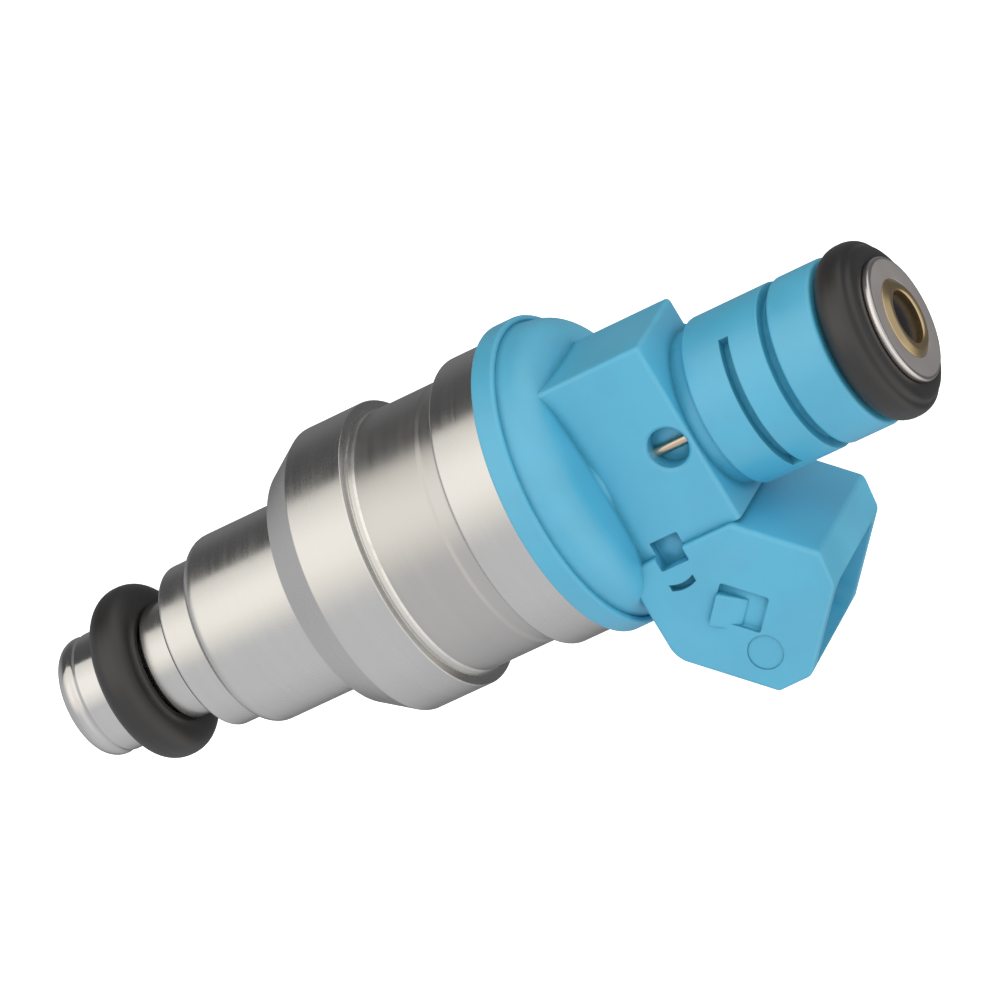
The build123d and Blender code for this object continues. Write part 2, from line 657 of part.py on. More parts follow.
def catch(side):
    """Ramped catch on one side wall of the socket."""
    x, z = on_socket(CATCH_DEPTH, CATCH_RISE - CATCH_HEIGHT / 2)
    upward = Vector(-cos(tilt), 0, sin(tilt))
    with BuildPart(mode=Mode.PRIVATE) as blank:
        with BuildSketch(Plane(origin=(x, side * SOCKET_WIDTH / 2, z), x_dir=outward, z_dir=upward)):
            with BuildLine():
                Polyline(
                    (-CATCH_LENGTH / 2, side * CATCH_POCKET),
                    (CATCH_LENGTH / 2, side * CATCH_POCKET),
                    (CATCH_LENGTH / 2, 0),
                    (0, -side * CATCH_PROUD),
                    (-CATCH_LENGTH / 2, -side * CATCH_PROUD),
                    close=True,
                )
            make_face()
        extrude(amount=CATCH_HEIGHT)
    return blank.part


def wall_plane(side, x, z, x_dir):
    """Plane on one side wall of the socket, facing away from the middle."""
    return Plane(origin=(x, side * SOCKET_WIDTH / 2, z), x_dir=x_dir, z_dir=(0, side, 0))


with BuildPart() as overmould_body:
    add(tube(0, COLLAR_LIP_RADIUS, z_lip, z_flange))
    add(tube(0, FLANGE_RADIUS, z_flange, z_dome))
    add(dome())
    add(tube(0, NECK_RADIUS, z_dome, z_undercut))
    add(tube(0, UNDERCUT_RADIUS, z_undercut, z_neck))
    add(tube(0, NECK_RADIUS, z_neck, z_inlet_groove))
    add(block())
    add(socket_shroud())
    add(tube(0, CORE_RADIUS, z_lip, z_inlet_groove), mode=Mode.SUBTRACT)
    cavity_width = SOCKET_WIDTH - 2 * SOCKET_SIDE_WALL
    cavity_thickness = SOCKET_THICKNESS - SOCKET_UPPER_WALL - SOCKET_LOWER_WALL
    with BuildSketch(socket_plane):
        with Locations((0, cavity_rise)):
            RectangleRounded(cavity_width, cavity_thickness, SOCKET_CORNER)
    extrude(amount=-SOCKET_DEPTH, mode=Mode.SUBTRACT)
    z_window = z_undercut - WINDOW_END_GAP
    with BuildSketch(Plane(origin=(-WINDOW_OFFSET, -BLOCK_NEAR, z_window), z_dir=(0, -1, 0))):
        Circle(WINDOW_RADIUS)
    extrude(amount=-WINDOW_DEPTH, mode=Mode.SUBTRACT)
    z_groove = z_neck + NECK_GROOVE_HEIGHT
    groove_half = NECK_GROOVE_WIDTH / 2
    add(tube(NECK_RADIUS - NECK_GROOVE_DEPTH, NECK_RADIUS, z_groove - groove_half, z_groove + groove_half),
        mode=Mode.SUBTRACT)
    z_slot = z_neck + NECK_SLOT_HEIGHT
    for middle_angle in (-90, 90):
        start = radians(middle_angle - NECK_SLOT_HALF_ANGLE)
        slot_plane = Plane((0, 0, 0), x_dir=(cos(start), sin(start), 0), z_dir=(sin(start), -cos(start), 0))
        with BuildSketch(slot_plane):
            with Locations((NECK_RADIUS, z_slot)):
                Rectangle(2 * NECK_SLOT_DEPTH, NECK_SLOT_WIDTH)
        revolve(axis=Axis.Z, revolution_arc=2 * NECK_SLOT_HALF_ANGLE, mode=Mode.SUBTRACT)
    for side in (-1, 1):
        with BuildSketch(wall_plane(side, SOCKET_REACH, socket_z, outward)):
            pocket_depth = CATCH_DEPTH - CATCH_POCKET_BESIDE / 2
            pocket_rise = CATCH_RISE + (CATCH_POCKET_ABOVE + CATCH_POCKET_FOOT) / 2
            pocket_height = CATCH_HEIGHT + CATCH_POCKET_ABOVE - CATCH_POCKET_FOOT
            with Locations((-pocket_depth, -side * pocket_rise)):
                Rectangle(CATCH_LENGTH + CATCH_POCKET_BESIDE, pocket_height)
        extrude(amount=-CATCH_POCKET, mode=Mode.SUBTRACT)
        add(catch(side))
        with BuildSketch(wall_plane(side, SOCKET_LEDGE, z_notch, (1, 0, 0))):
            Rectangle(2 * NOTCH_REACH, NOTCH_LENGTH)
        extrude(amount=-NOTCH_DEPTH, mode=Mode.SUBTRACT)
        with BuildSketch(wall_plane(side, SLIT_X, z_slit, (0, 0, 1))):
            bow = ThreePointArc((-SLIT_LENGTH / 2, 0), (0, side * SLIT_BOW), (SLIT_LENGTH / 2, 0))
            SlotArc(bow, SLIT_WIDTH)
        extrude(amount=-SLIT_DEPTH, mode=Mode.SUBTRACT)
        with BuildSketch(wall_plane(side, SOCKET_REACH, socket_z, outward)):
            with Locations((-MARK_DEPTH, -side * MARK_RISE)):
                Circle(MARK_RADIUS)
        extrude(amount=-MARK_SUNK, mode=Mode.SUBTRACT)
        add(blade(side), mode=Mode.SUBTRACT)
        add(lead(side), mode=Mode.SUBTRACT)
write(overmould_body, "overmould_body")

# ---------------------------------------------------------------- outer sealing rings

with BuildPart() as lower_o_ring:
    add(ring(o_ring_radius, O_RING_SECTION / 2, CAP_LENGTH + groove_length / 2))
write(lower_o_ring, "lower_o_ring")

with BuildPart() as upper_o_ring:
    add(ring(o_ring_radius, O_RING_SECTION / 2, z_inlet_groove + groove_length / 2))
write(upper_o_ring, "upper_o_ring")
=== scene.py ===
"""Looks of the fuel injector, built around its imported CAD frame.

Every piece is in metres in the injector's own frame: +Z from the nozzle to the fuel inlet, +X towards the
electrical socket.  Stations and radii come from the frame's nodes, and the finer sizes are fields here.
"""

import logging
import math
from collections.abc import Callable, Sequence
from dataclasses import dataclass, field
from enum import Enum

import bpy
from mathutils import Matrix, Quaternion, Vector


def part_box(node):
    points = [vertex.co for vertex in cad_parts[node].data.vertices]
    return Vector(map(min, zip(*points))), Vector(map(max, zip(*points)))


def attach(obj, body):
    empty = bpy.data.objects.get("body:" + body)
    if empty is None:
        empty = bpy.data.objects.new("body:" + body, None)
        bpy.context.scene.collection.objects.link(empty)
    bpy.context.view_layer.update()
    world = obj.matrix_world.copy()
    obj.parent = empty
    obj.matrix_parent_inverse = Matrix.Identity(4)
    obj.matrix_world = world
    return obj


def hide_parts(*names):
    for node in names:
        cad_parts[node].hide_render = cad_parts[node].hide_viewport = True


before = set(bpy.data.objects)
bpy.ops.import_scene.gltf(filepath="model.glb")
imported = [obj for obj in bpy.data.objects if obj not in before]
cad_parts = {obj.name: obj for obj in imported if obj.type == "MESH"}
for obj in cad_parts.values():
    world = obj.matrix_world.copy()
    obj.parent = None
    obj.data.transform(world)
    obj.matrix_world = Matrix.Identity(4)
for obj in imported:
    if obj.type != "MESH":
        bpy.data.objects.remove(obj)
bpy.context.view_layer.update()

MM = 0.001
ROOT_BODY = "injector_body"
ROUND_STEPS = 128
HOLE_STEPS = 64
SMOOTH_ANGLE = math.radians(32)
NORMAL_WEIGHT = 60
MERGE_DISTANCE = 1e-7
TOUCH = 1e-6
OCCLUSION_SAMPLES = 8
WEAR_SAMPLES = 6
EDGE_SAMPLES = 4

Color = tuple[float, float, float]

log = logging.getLogger("injector")


# ------------------------------------------------------------------------------------ bench tools


class Place(Enum):
    """How a second solid is combined with the first."""

    JOINED = "UNION"
    CUT = "DIFFERENCE"


@dataclass(frozen=True)
class Corner:
    """One corner of a turned section, with the radius of its rounding."""

    r: float
    z: float
    round: float = 0.0
    steps: int = 5


def deselect() -> None:
    """Leave nothing selected and no object in edit mode."""
    if bpy.context.object and bpy.context.object.mode != "OBJECT":
        bpy.ops.object.mode_set(mode="OBJECT")
    bpy.ops.object.select_all(action="DESELECT")


def start_edit(piece: bpy.types.Object, mode: str = "VERT", picked: str = "DESELECT") -> None:
    """Open one piece in edit mode.

    Args:
        piece: The object to edit.
        mode: Which kind of element is selected: VERT, EDGE or FACE.
        picked: DESELECT to start with nothing selected, or SELECT for all of it.
    """
    deselect()
    piece.select_set(True)
    bpy.context.view_layer.objects.active = piece
    bpy.ops.object.mode_set(mode="EDIT")
    bpy.ops.mesh.select_mode(type=mode)
    bpy.ops.mesh.select_all(action=picked)


def pick_edges(piece: bpy.types.Object, wanted: Callable[[Vector, Vector], bool]) -> int:
    """Select the edges whose two end points pass a test.

    Args:
        piece: The object, which is left in edit mode.
        wanted: Test of the two end points.

    Returns:
        The number of edges selected.
    """
    start_edit(piece, "EDGE")
    bpy.ops.object.mode_set(mode="OBJECT")
    points = piece.data.vertices
    count = 0
    for edge in piece.data.edges:
        edge.select = wanted(points[edge.vertices[0]].co, points[edge.vertices[1]].co)
        count += edge.select
    bpy.ops.object.mode_set(mode="EDIT")
    return count


def bevel_picked(width: float, segments: int) -> None:
    """Round the selected edges and leave edit mode."""
    bpy.ops.mesh.bevel(offset=width, segments=segments, affect="EDGES", clamp_overlap=True)
    bpy.ops.object.mode_set(mode="OBJECT")


def bevel_all(piece: bpy.types.Object, width: float, segments: int) -> None:
    """Round every edge of a piece."""
    start_edit(piece, "EDGE", "SELECT")
    bevel_picked(width, segments)


def settle(piece: bpy.types.Object, name: str) -> bpy.types.Object:
    """Put a new primitive's place into its mesh and name it.

    Args:
        piece: The primitive, which is still selected.
        name: Its name and its mesh's.

    Returns:
        The same object, now at the origin.
    """
    piece.name = name
    piece.data.name = name
    bpy.ops.object.transform_apply(location=True, rotation=True, scale=True)
    return piece


def finish_with(piece: bpy.types.Object, kind: str, **settings: object) -> None:
    """Add one modifier to a piece and apply it.

    Args:
        piece: The object to change.
        kind: Blender's name of the modifier.
        settings: Values set on the modifier.
    """
    deselect()
    piece.select_set(True)
    bpy.context.view_layer.objects.active = piece
    modifier = piece.modifiers.new(kind.title(), kind)
    for key, value in settings.items():
        setattr(modifier, key, value)
    bpy.ops.object.modifier_apply(modifier=modifier.name)


def combine(piece: bpy.types.Object, other: bpy.types.Object, place: Place) -> None:
    """Join another solid to a piece, or cut it out, and remove the other."""
    finish_with(piece, "BOOLEAN", object=other, operation=place.value, solver="EXACT")
    bpy.data.objects.remove(other)


def smooth(piece: bpy.types.Object, angle: float) -> None:
    """Shade a piece smooth, with flat faces kept flat.

    Args:
        piece: The object to shade.
        angle: The widest angle between two faces that is still shaded smooth.
    """
    deselect()
    piece.select_set(True)
    bpy.context.view_layer.objects.active = piece
    bpy.ops.object.shade_smooth_by_angle(angle=angle)
    finish_with(piece, "WEIGHTED_NORMAL", keep_sharp=True, weight=NORMAL_WEIGHT)


def rounded(corners: Sequence[Corner]) -> list[tuple[float, float]]:
    """Closed section with its corners rounded.

    Args:
        corners: The corners in order round the section.

    Returns:
        The (radius, height) stations round the section.
    """
    stations: list[tuple[float, float]] = []
    for index, corner in enumerate(corners):
        last, following = corners[index - 1], corners[(index + 1) % len(corners)]
        here = Vector((corner.r, corner.z))
        before = Vector((last.r, last.z))
        after = Vector((following.r, following.z))
        if not corner.round:
            stations.append((here.x, here.y))
            continue
        back = (before - here).normalized()
        ahead = (after - here).normalized()
        half = back.angle(ahead) / 2
        reach = corner.round / math.tan(half)
        centre = here + (back + ahead).normalized() * corner.round / math.sin(half)
        first = here + back * reach - centre
        turn_by = first.angle_signed(here + ahead * reach - centre)
        for step in range(corner.steps + 1):
            angle = -turn_by * step / corner.steps
            x = first.x * math.cos(angle) - first.y * math.sin(angle)
            y = first.x * math.sin(angle) + first.y * math.cos(angle)
            stations.append((centre.x + x, centre.y + y))
    return stations


def turn(name: str, corners: Sequence[Corner], steps: int = ROUND_STEPS) -> bpy.types.Object:
    """Turned piece: a circle extruded and resized from station to station round a closed section.

    Args:
        name: The new object's name.
        corners: The section's corners, none of them on the axis.
        steps: Number of facets round the axis.

    Returns:
        The closed piece, not yet shaded.
    """
    stations = rounded(corners)
    deselect()
    first_r, first_z = stations[0]
    bpy.ops.mesh.primitive_circle_add(vertices=steps, radius=first_r, location=(0, 0, first_z))
    piece = settle(bpy.context.object, name)
    start_edit(piece, picked="SELECT")
    for (r, z), (next_r, next_z) in zip(stations, stations[1:] + stations[:1]):
        bpy.ops.mesh.extrude_region_move(TRANSFORM_OT_translate={"value": (0, 0, next_z - z)})
        grow = next_r / r
        bpy.ops.transform.resize(value=(grow, grow, 1), center_override=(0, 0, next_z))
    bpy.ops.mesh.select_all(action="SELECT")
    bpy.ops.mesh.remove_doubles(threshold=MERGE_DISTANCE)
    bpy.ops.mesh.normals_make_consistent(inside=False)
    bpy.ops.object.mode_set(mode="OBJECT")
    return piece


def box_piece(name: str, low: Vector, high: Vector) -> bpy.types.Object:
    """Box between two corners, to be shaped further.

    Args:
        name: The new object's name.
        low: The corner with the smallest coordinates.
        high: The corner with the largest ones.

    Returns:
        The box.
    """
    deselect()
    bpy.ops.mesh.primitive_cube_add(size=1, location=(low + high) / 2, scale=high - low)
    return settle(bpy.context.object, name)


# ------------------------------------------------------------------------------------ shared effects


class Effect:
    """One shared shader effect, kept as a node group with named sockets."""

    groups: dict[str, bpy.types.NodeTree] = {}

    @classmethod
    def group(cls, name: str, inputs: dict[str, tuple[str, object]],
              outputs: dict[str, str]) -> bpy.types.NodeTree:
        """New node group with its sockets.

        Args:
            name: The group's name.
            inputs: Each input's socket type and default value.
            outputs: Each output's socket type.

        Returns:
            The group, holding its input and output nodes.
        """
        tree = bpy.data.node_groups.new(name, "ShaderNodeTree")
        for label, (kind, value) in inputs.items():
            socket = tree.interface.new_socket(label, in_out="INPUT", socket_type=kind)
            if value is not None:
                socket.default_value = value
        for label, kind in outputs.items():
            tree.interface.new_socket(label, in_out="OUTPUT", socket_type=kind)
        tree.nodes.new("NodeGroupInput").name = "in"
        tree.nodes.new("NodeGroupOutput").name = "out"
        cls.groups[name] = tree
        return tree


def add_node(tree: bpy.types.NodeTree, kind: str, **settings: object) -> bpy.types.Node:
    """New node with its properties set.

    Args:
        tree: The tree that gets the node.
        kind: The node's type.
        settings: Properties of the node.

    Returns:
        The new node.
    """
    node = tree.nodes.new(kind)
    for key, value in settings.items():
        setattr(node, key, value)
    return node


def feed(tree: bpy.types.NodeTree, node: bpy.types.Node, **values: object) -> bpy.types.Node:
    """Set or link a node's inputs.

    Args:
        tree: The node's tree.
        node: The node to feed.
        values: What each input gets, a plain value or a socket. A key like in_0 is the input's index, and
            any other key is its label with _ for a space.

    Returns:
        The same node.
    """
    for key, value in values.items():
        index = int(key[3:]) if key.startswith("in_") else key.replace("_", " ")
        if isinstance(value, bpy.types.NodeSocket):
            tree.links.new(value, node.inputs[index])
        else:
            node.inputs[index].default_value = value
    return node


def math_node(tree: bpy.types.NodeTree, operation: str, *values: object,
              clamp: bool = False) -> bpy.types.NodeSocket:
    """Result of a math node.

    Args:
        tree: The tree that gets the node.
        operation: Blender's name of the operation.
        values: The numbers or sockets it works on.
        clamp: Whether the result stays between 0 and 1.

    Returns:
        The result's socket.
    """
    node = add_node(tree, "ShaderNodeMath", operation=operation, use_clamp=clamp)
    feed(tree, node, **{f"in_{index}": value for index, value in enumerate(values)})
    return node.outputs[0]


def times(tree: bpy.types.NodeTree, first: object, second: object) -> bpy.types.NodeSocket:
    """Product of two numbers or sockets."""
    return math_node(tree, "MULTIPLY", first, second)


def ramp(tree: bpy.types.NodeTree, value: object, low: float, high: float,
         start: float = 0.0, end: float = 1.0) -> bpy.types.NodeSocket:
    """Value mapped smoothly from one range to another, clamped.

    Args:
        tree: The tree that gets the node.
        value: The number or socket to map.
        low: Value that gives the start.
        high: Value that gives the end.
        start: Result at the low end.
        end: Result at the high end.

    Returns:
        The result's socket.
    """
    node = add_node(tree, "ShaderNodeMapRange", interpolation_type="SMOOTHSTEP")
    feed(tree, node, in_0=value, in_1=low, in_2=high, in_3=start, in_4=end)
    return node.outputs[0]


def noise(tree: bpy.types.NodeTree, vector: bpy.types.NodeSocket, scale: object, detail: float = 3.0,
          rough: float = 0.55) -> bpy.types.NodeSocket:
    """Factor of a noise texture.

    Args:
        tree: The tree that gets the node.
        vector: Where the noise is read.
        scale: Patches per metre, a number or a socket.
        detail: Octaves of finer noise.
        rough: Share of each finer octave.

    Returns:
        The factor's socket.
    """
    node = add_node(tree, "ShaderNodeTexNoise")
    feed(tree, node, Vector=vector, Scale=scale, Detail=detail, Roughness=rough)
    return node.outputs["Fac"]


def mix_colors(tree: bpy.types.NodeTree, share: bpy.types.NodeSocket, first: object,
               second: object) -> bpy.types.NodeSocket:
    """Colour that turns from one colour to another.

    Args:
        tree: The tree that gets the node.
        share: Share of the second colour.
        first: The first colour, plain or a socket.
        second: The second colour, plain or a socket.

    Returns:
        The mixed colour's socket.
    """
    node = add_node(tree, "ShaderNodeMix", data_type="RGBA")
    tree.links.new(share, node.inputs["Factor"])
    for socket, value in zip([s for s in node.inputs if s.type == "RGBA"], (first, second)):
        if isinstance(value, bpy.types.NodeSocket):
            tree.links.new(value, socket)
        else:
            socket.default_value = (*value, 1.0)
    return next(s for s in node.outputs if s.type == "RGBA")


def breakup(tree: bpy.types.NodeTree, detail: float, least: float) -> bpy.types.NodeSocket:
    """Noise between a least value and one, which breaks up a group's mask.

    Args:
        tree: The group, with inputs named Vector and Breakup.
        detail: Octaves of finer noise.
        least: The value where the mask is weakest.

    Returns:
        The value's socket.
    """
    inputs = tree.nodes["in"].outputs
    weak_at, full_at = 0.3, 0.6
    return ramp(tree, noise(tree, inputs["Vector"], inputs["Breakup"], detail), weak_at, full_at, least, 1.0)


def make_turning_marks() -> None:
    """Group: fine lathe rings round the Z axis, with slow streaks along the surface."""
    round_share, broad_share = 0.02, 0.22
    fine_height, broad_height, tone_each = 0.8, 0.2, 0.5
    tree = Effect.group(
        "turning_marks",
        {"Vector": ("NodeSocketVector", None), "Rings": ("NodeSocketFloat", 9000.0),
         "Streaks": ("NodeSocketFloat", 260.0)},
        {"Height": "NodeSocketFloat", "Tone": "NodeSocketFloat"},
    )
    inputs = tree.nodes["in"].outputs
    parts = feed(tree, add_node(tree, "ShaderNodeSeparateXYZ"), Vector=inputs["Vector"]).outputs
    squash = add_node(tree, "ShaderNodeCombineXYZ")
    feed(tree, squash, X=times(tree, parts["X"], round_share), Y=times(tree, parts["Y"], round_share),
         Z=parts["Z"])
    fine = noise(tree, squash.outputs[0], inputs["Rings"], 2.0)
    broad = noise(tree, squash.outputs[0], times(tree, inputs["Rings"], broad_share), 2.0)
    streak = noise(tree, inputs["Vector"], inputs["Streaks"], 4.0)
    height = math_node(tree, "ADD", times(tree, fine, fine_height), times(tree, broad, broad_height))
    tone = math_node(tree, "ADD", times(tree, broad, tone_each), times(tree, streak, tone_each))
    feed(tree, tree.nodes["out"], Height=height, Tone=tone)


def make_moulded_grain() -> None:
    """Group: fine pimpled grain of a moulded surface, with faint cloudy flow marks."""
    pit_share, cell_height = 0.45, 0.5
    tree = Effect.group(
        "moulded_grain",
        {"Vector": ("NodeSocketVector", None), "Grain": ("NodeSocketFloat", 5200.0),
         "Clouds": ("NodeSocketFloat", 160.0)},
        {"Height": "NodeSocketFloat", "Tone": "NodeSocketFloat"},
    )
    inputs = tree.nodes["in"].outputs
    cells = feed(tree, add_node(tree, "ShaderNodeTexVoronoi", feature="SMOOTH_F1"),
                 Vector=inputs["Vector"], Scale=inputs["Grain"]).outputs["Distance"]
    pits = noise(tree, inputs["Vector"], times(tree, inputs["Grain"], pit_share), 3.0, 0.6)
    clouds = noise(tree, inputs["Vector"], inputs["Clouds"], 5.0, 0.6)
    height = math_node(tree, "ADD", times(tree, cells, cell_height), pits)
    feed(tree, tree.nodes["out"], Height=height, Tone=clouds)


def openness(tree: bpy.types.NodeTree, reach: float) -> bpy.types.NodeSocket:
    """Share of open space over a surface: one on plain faces and low in grooves.

    Args:
        tree: The tree that gets the node.
        reach: How far away another face still counts.

    Returns:
        The share's socket.
    """
    node = add_node(tree, "ShaderNodeAmbientOcclusion", samples=OCCLUSION_SAMPLES, only_local=True)
    feed(tree, node, Distance=reach)
    return node.outputs["AO"]


def make_painted_cavity_shade() -> None:
    """Group: mask of grooves and inner corners for painted shade, slightly broken up by noise."""
    reach, none_at, full_at = 1.2 * MM, 0.92, 0.5
    tree = Effect.group(
        "cavity",
        {"Vector": ("NodeSocketVector", None), "Breakup": ("NodeSocketFloat", 700.0)},
        {"Mask": "NodeSocketFloat"},
    )
    closed = ramp(tree, openness(tree, reach), none_at, full_at)
    feed(tree, tree.nodes["out"], Mask=times(tree, closed, breakup(tree, 3.0, 0.85)))


def make_edge_wear_and_highlight() -> None:
    """Group: mask, one on outward edges and fading over a width, broken up by noise: rubbed edges and painted
    highlight.
    """
    width, flat_dot, edge_dot = 0.22 * MM, 0.999, 0.93
    reach, inside_at, outside_at = 0.8 * MM, 0.6, 0.85
    tree = Effect.group(
        "edge_wear_and_highlight",
        {"Vector": ("NodeSocketVector", None), "Breakup": ("NodeSocketFloat", 900.0)},
        {"Mask": "NodeSocketFloat"},
    )
    bevel = feed(tree, add_node(tree, "ShaderNodeBevel", samples=WEAR_SAMPLES), Radius=width)
    surface = add_node(tree, "ShaderNodeNewGeometry")
    dot = add_node(tree, "ShaderNodeVectorMath", operation="DOT_PRODUCT")
    feed(tree, dot, in_0=bevel.outputs[0], in_1=surface.outputs["Normal"])
    edge = ramp(tree, dot.outputs["Value"], flat_dot, edge_dot)
    outward = times(tree, edge, ramp(tree, openness(tree, reach), inside_at, outside_at))
    feed(tree, tree.nodes["out"], Mask=times(tree, outward, breakup(tree, 4.0, 0.35)))


def make_dust() -> None:
    """Group: thin patchy mask of handling marks and settled dust."""
    patch_scale, speck_scale, speck_weight = 130.0, 4200.0, 0.8
    tree = Effect.group(
        "dust",
        {"Vector": ("NodeSocketVector", None), "Amount": ("NodeSocketFloat", 0.5)},
        {"Mask": "NodeSocketFloat"},
    )
    inputs = tree.nodes["in"].outputs
    patches = ramp(tree, noise(tree, inputs["Vector"], patch_scale, 2.0, 0.45), 0.42, 0.85)
    specks = ramp(tree, noise(tree, inputs["Vector"], speck_scale, 2.0), 0.66, 0.74)
    both = math_node(tree, "MAXIMUM", patches, times(tree, specks, speck_weight))
    feed(tree, tree.nodes["out"], Mask=math_node(tree, "MULTIPLY", both, inputs["Amount"], clamp=True))


# ------------------------------------------------------------------------------------ finishes


def scaled(color: Color, factor: float) -> Color:
    """A colour made darker or lighter by a factor, up to full."""
    return tuple(min(1.0, value * factor) for value in color)


@dataclass(frozen=True)
class Finish:
    """Common start of every finish: its name, colour and roughness."""

    name: str
    color: Color
    roughness: float = 0.4

    def start(self) -> tuple[bpy.types.NodeTree, bpy.types.Node, bpy.types.NodeSocket]:
        """Start the material.

        Returns:
            Its tree, its Principled shader and its object coordinates.
        """
        material = bpy.data.materials.new(self.name)
        material.use_nodes = True
        tree = material.node_tree
        shader = tree.nodes["Principled BSDF"]
        feed(tree, shader, Base_Color=(*self.color, 1.0), Roughness=self.roughness)
        return tree, shader, add_node(tree, "ShaderNodeTexCoord").outputs["Object"]

    @property
    def material(self) -> bpy.types.Material:
        """The finished material, made once.

        Returns:
            The material.
        """
        if self.name not in bpy.data.materials:
            self.dress()
        return bpy.data.materials[self.name]

    def dress(self) -> None:
        """Build the material's nodes."""
        self.start()

    def effect(self, tree: bpy.types.NodeTree, name: str, place: bpy.types.NodeSocket,
               **values: float) -> bpy.types.NodeOutputs:
        """Place a shared effect in this material.

        Args:
            tree: The material's tree.
            name: The effect's name.
            place: The coordinates that it reads.
            values: Its other inputs.

        Returns:
            The effect's outputs.
        """
        node = add_node(tree, "ShaderNodeGroup", node_tree=Effect.groups[name])
        return feed(tree, node, Vector=place, **values).outputs

    def emboss(self, tree: bpy.types.NodeTree, shader: bpy.types.Node, height: bpy.types.NodeSocket,
               strength: float, depth: float, normal: bpy.types.NodeSocket | None = None) -> None:
        """Send a height to the shader's normal.

        Args:
            tree: The material's tree.
            shader: The material's shader.
            height: The height, from 0 to 1.
            strength: Share of the bump that shows.
            depth: Distance that a height of 1 stands for.
            normal: Another normal that the bump is laid on.
        """
        bump = feed(tree, add_node(tree, "ShaderNodeBump"), Height=height, Strength=strength, Distance=depth)
        if normal:
            tree.links.new(normal, bump.inputs["Normal"])
        tree.links.new(bump.outputs[0], shader.inputs["Normal"])


@dataclass(frozen=True)
class TurnedMetal(Finish):
    """Metal with lathe rings, lighter edges that are partly rubbed and partly a painted highlight, faint
    handling marks, and a painted shade that can darken a bore below a height.
    """

    rings: float = 12000.0
    ring_depth: float = 0.003 * MM
    ring_strength: float = 0.12
    dark_tone: float = 0.86
    # Lighter edge colour: partly rubbed metal, partly a painted highlight.
    light_tone: float = 1.22
    stain: float = 0.06
    stain_tone: float = 0.55
    stain_roughness: float = 0.3
    spread: float = 0.10
    rim_radius: float = 0.0
    rim_fade: float = 0.1 * MM
    rim_roughness: float = 0.4
    # Painted shade deep in a bore: below a height the colour darkens towards a dark tone and the metal
    # reflects less.
    painted_shade_top: float = 0.0
    painted_shade_length: float = 0.0
    smoke_dulling: float = 0.85
    painted_shade_color: Color = (0.09, 0.093, 0.115)

    def dress(self) -> None:
        """Build the metal's nodes."""
        tree, shader, place = self.start()
        shader.inputs["Metallic"].default_value = 1.0
        marks = self.effect(tree, "turning_marks", place, Rings=self.rings)
        wear_and_highlight = self.effect(tree, "edge_wear_and_highlight", place)["Mask"]
        dust = self.effect(tree, "dust", place, Amount=self.stain)["Mask"]
        toned = mix_colors(tree, marks["Tone"], scaled(self.color, self.dark_tone), self.color)
        # Edges lightened, partly as rubbing and partly as a painted highlight.
        worn_and_lit = mix_colors(tree, wear_and_highlight, toned, scaled(self.color, self.light_tone))
        stained_and_shaded = mix_colors(tree, dust, worn_and_lit, scaled(self.color, self.stain_tone))
        parts = feed(tree, add_node(tree, "ShaderNodeSeparateXYZ"), Vector=place).outputs
        # Painted shade inside the bore: darker colour and less metallic below the top height.
        if self.painted_shade_top:
            below = math_node(tree, "SUBTRACT", self.painted_shade_top, parts["Z"])
            deep = ramp(tree, below, 0.0, self.painted_shade_length)
            stained_and_shaded = mix_colors(tree, deep, stained_and_shaded, self.painted_shade_color)
            shine = math_node(tree, "MULTIPLY_ADD", deep, -self.smoke_dulling, 1.0)
            tree.links.new(shine, shader.inputs["Metallic"])
        tree.links.new(stained_and_shaded, shader.inputs["Base Color"])
        rough = ramp(tree, marks["Tone"], 0.25, 0.75, self.roughness - self.spread / 2,
                     self.roughness + self.spread / 2)
        if self.rim_radius:
            flat = feed(tree, add_node(tree, "ShaderNodeCombineXYZ"), X=parts["X"], Y=parts["Y"])
            length = add_node(tree, "ShaderNodeVectorMath", operation="LENGTH")
            feed(tree, length, in_0=flat.outputs[0])
            rim = ramp(tree, length.outputs["Value"], self.rim_radius - self.rim_fade, self.rim_radius, 1.0,
                       self.rim_roughness)
            rough = times(tree, rough, rim)
        rougher = math_node(tree, "ADD", rough, times(tree, dust, self.stain_roughness), clamp=True)
        tree.links.new(rougher, shader.inputs["Roughness"])
        self.emboss(tree, shader, marks["Height"], self.ring_strength, self.ring_depth)


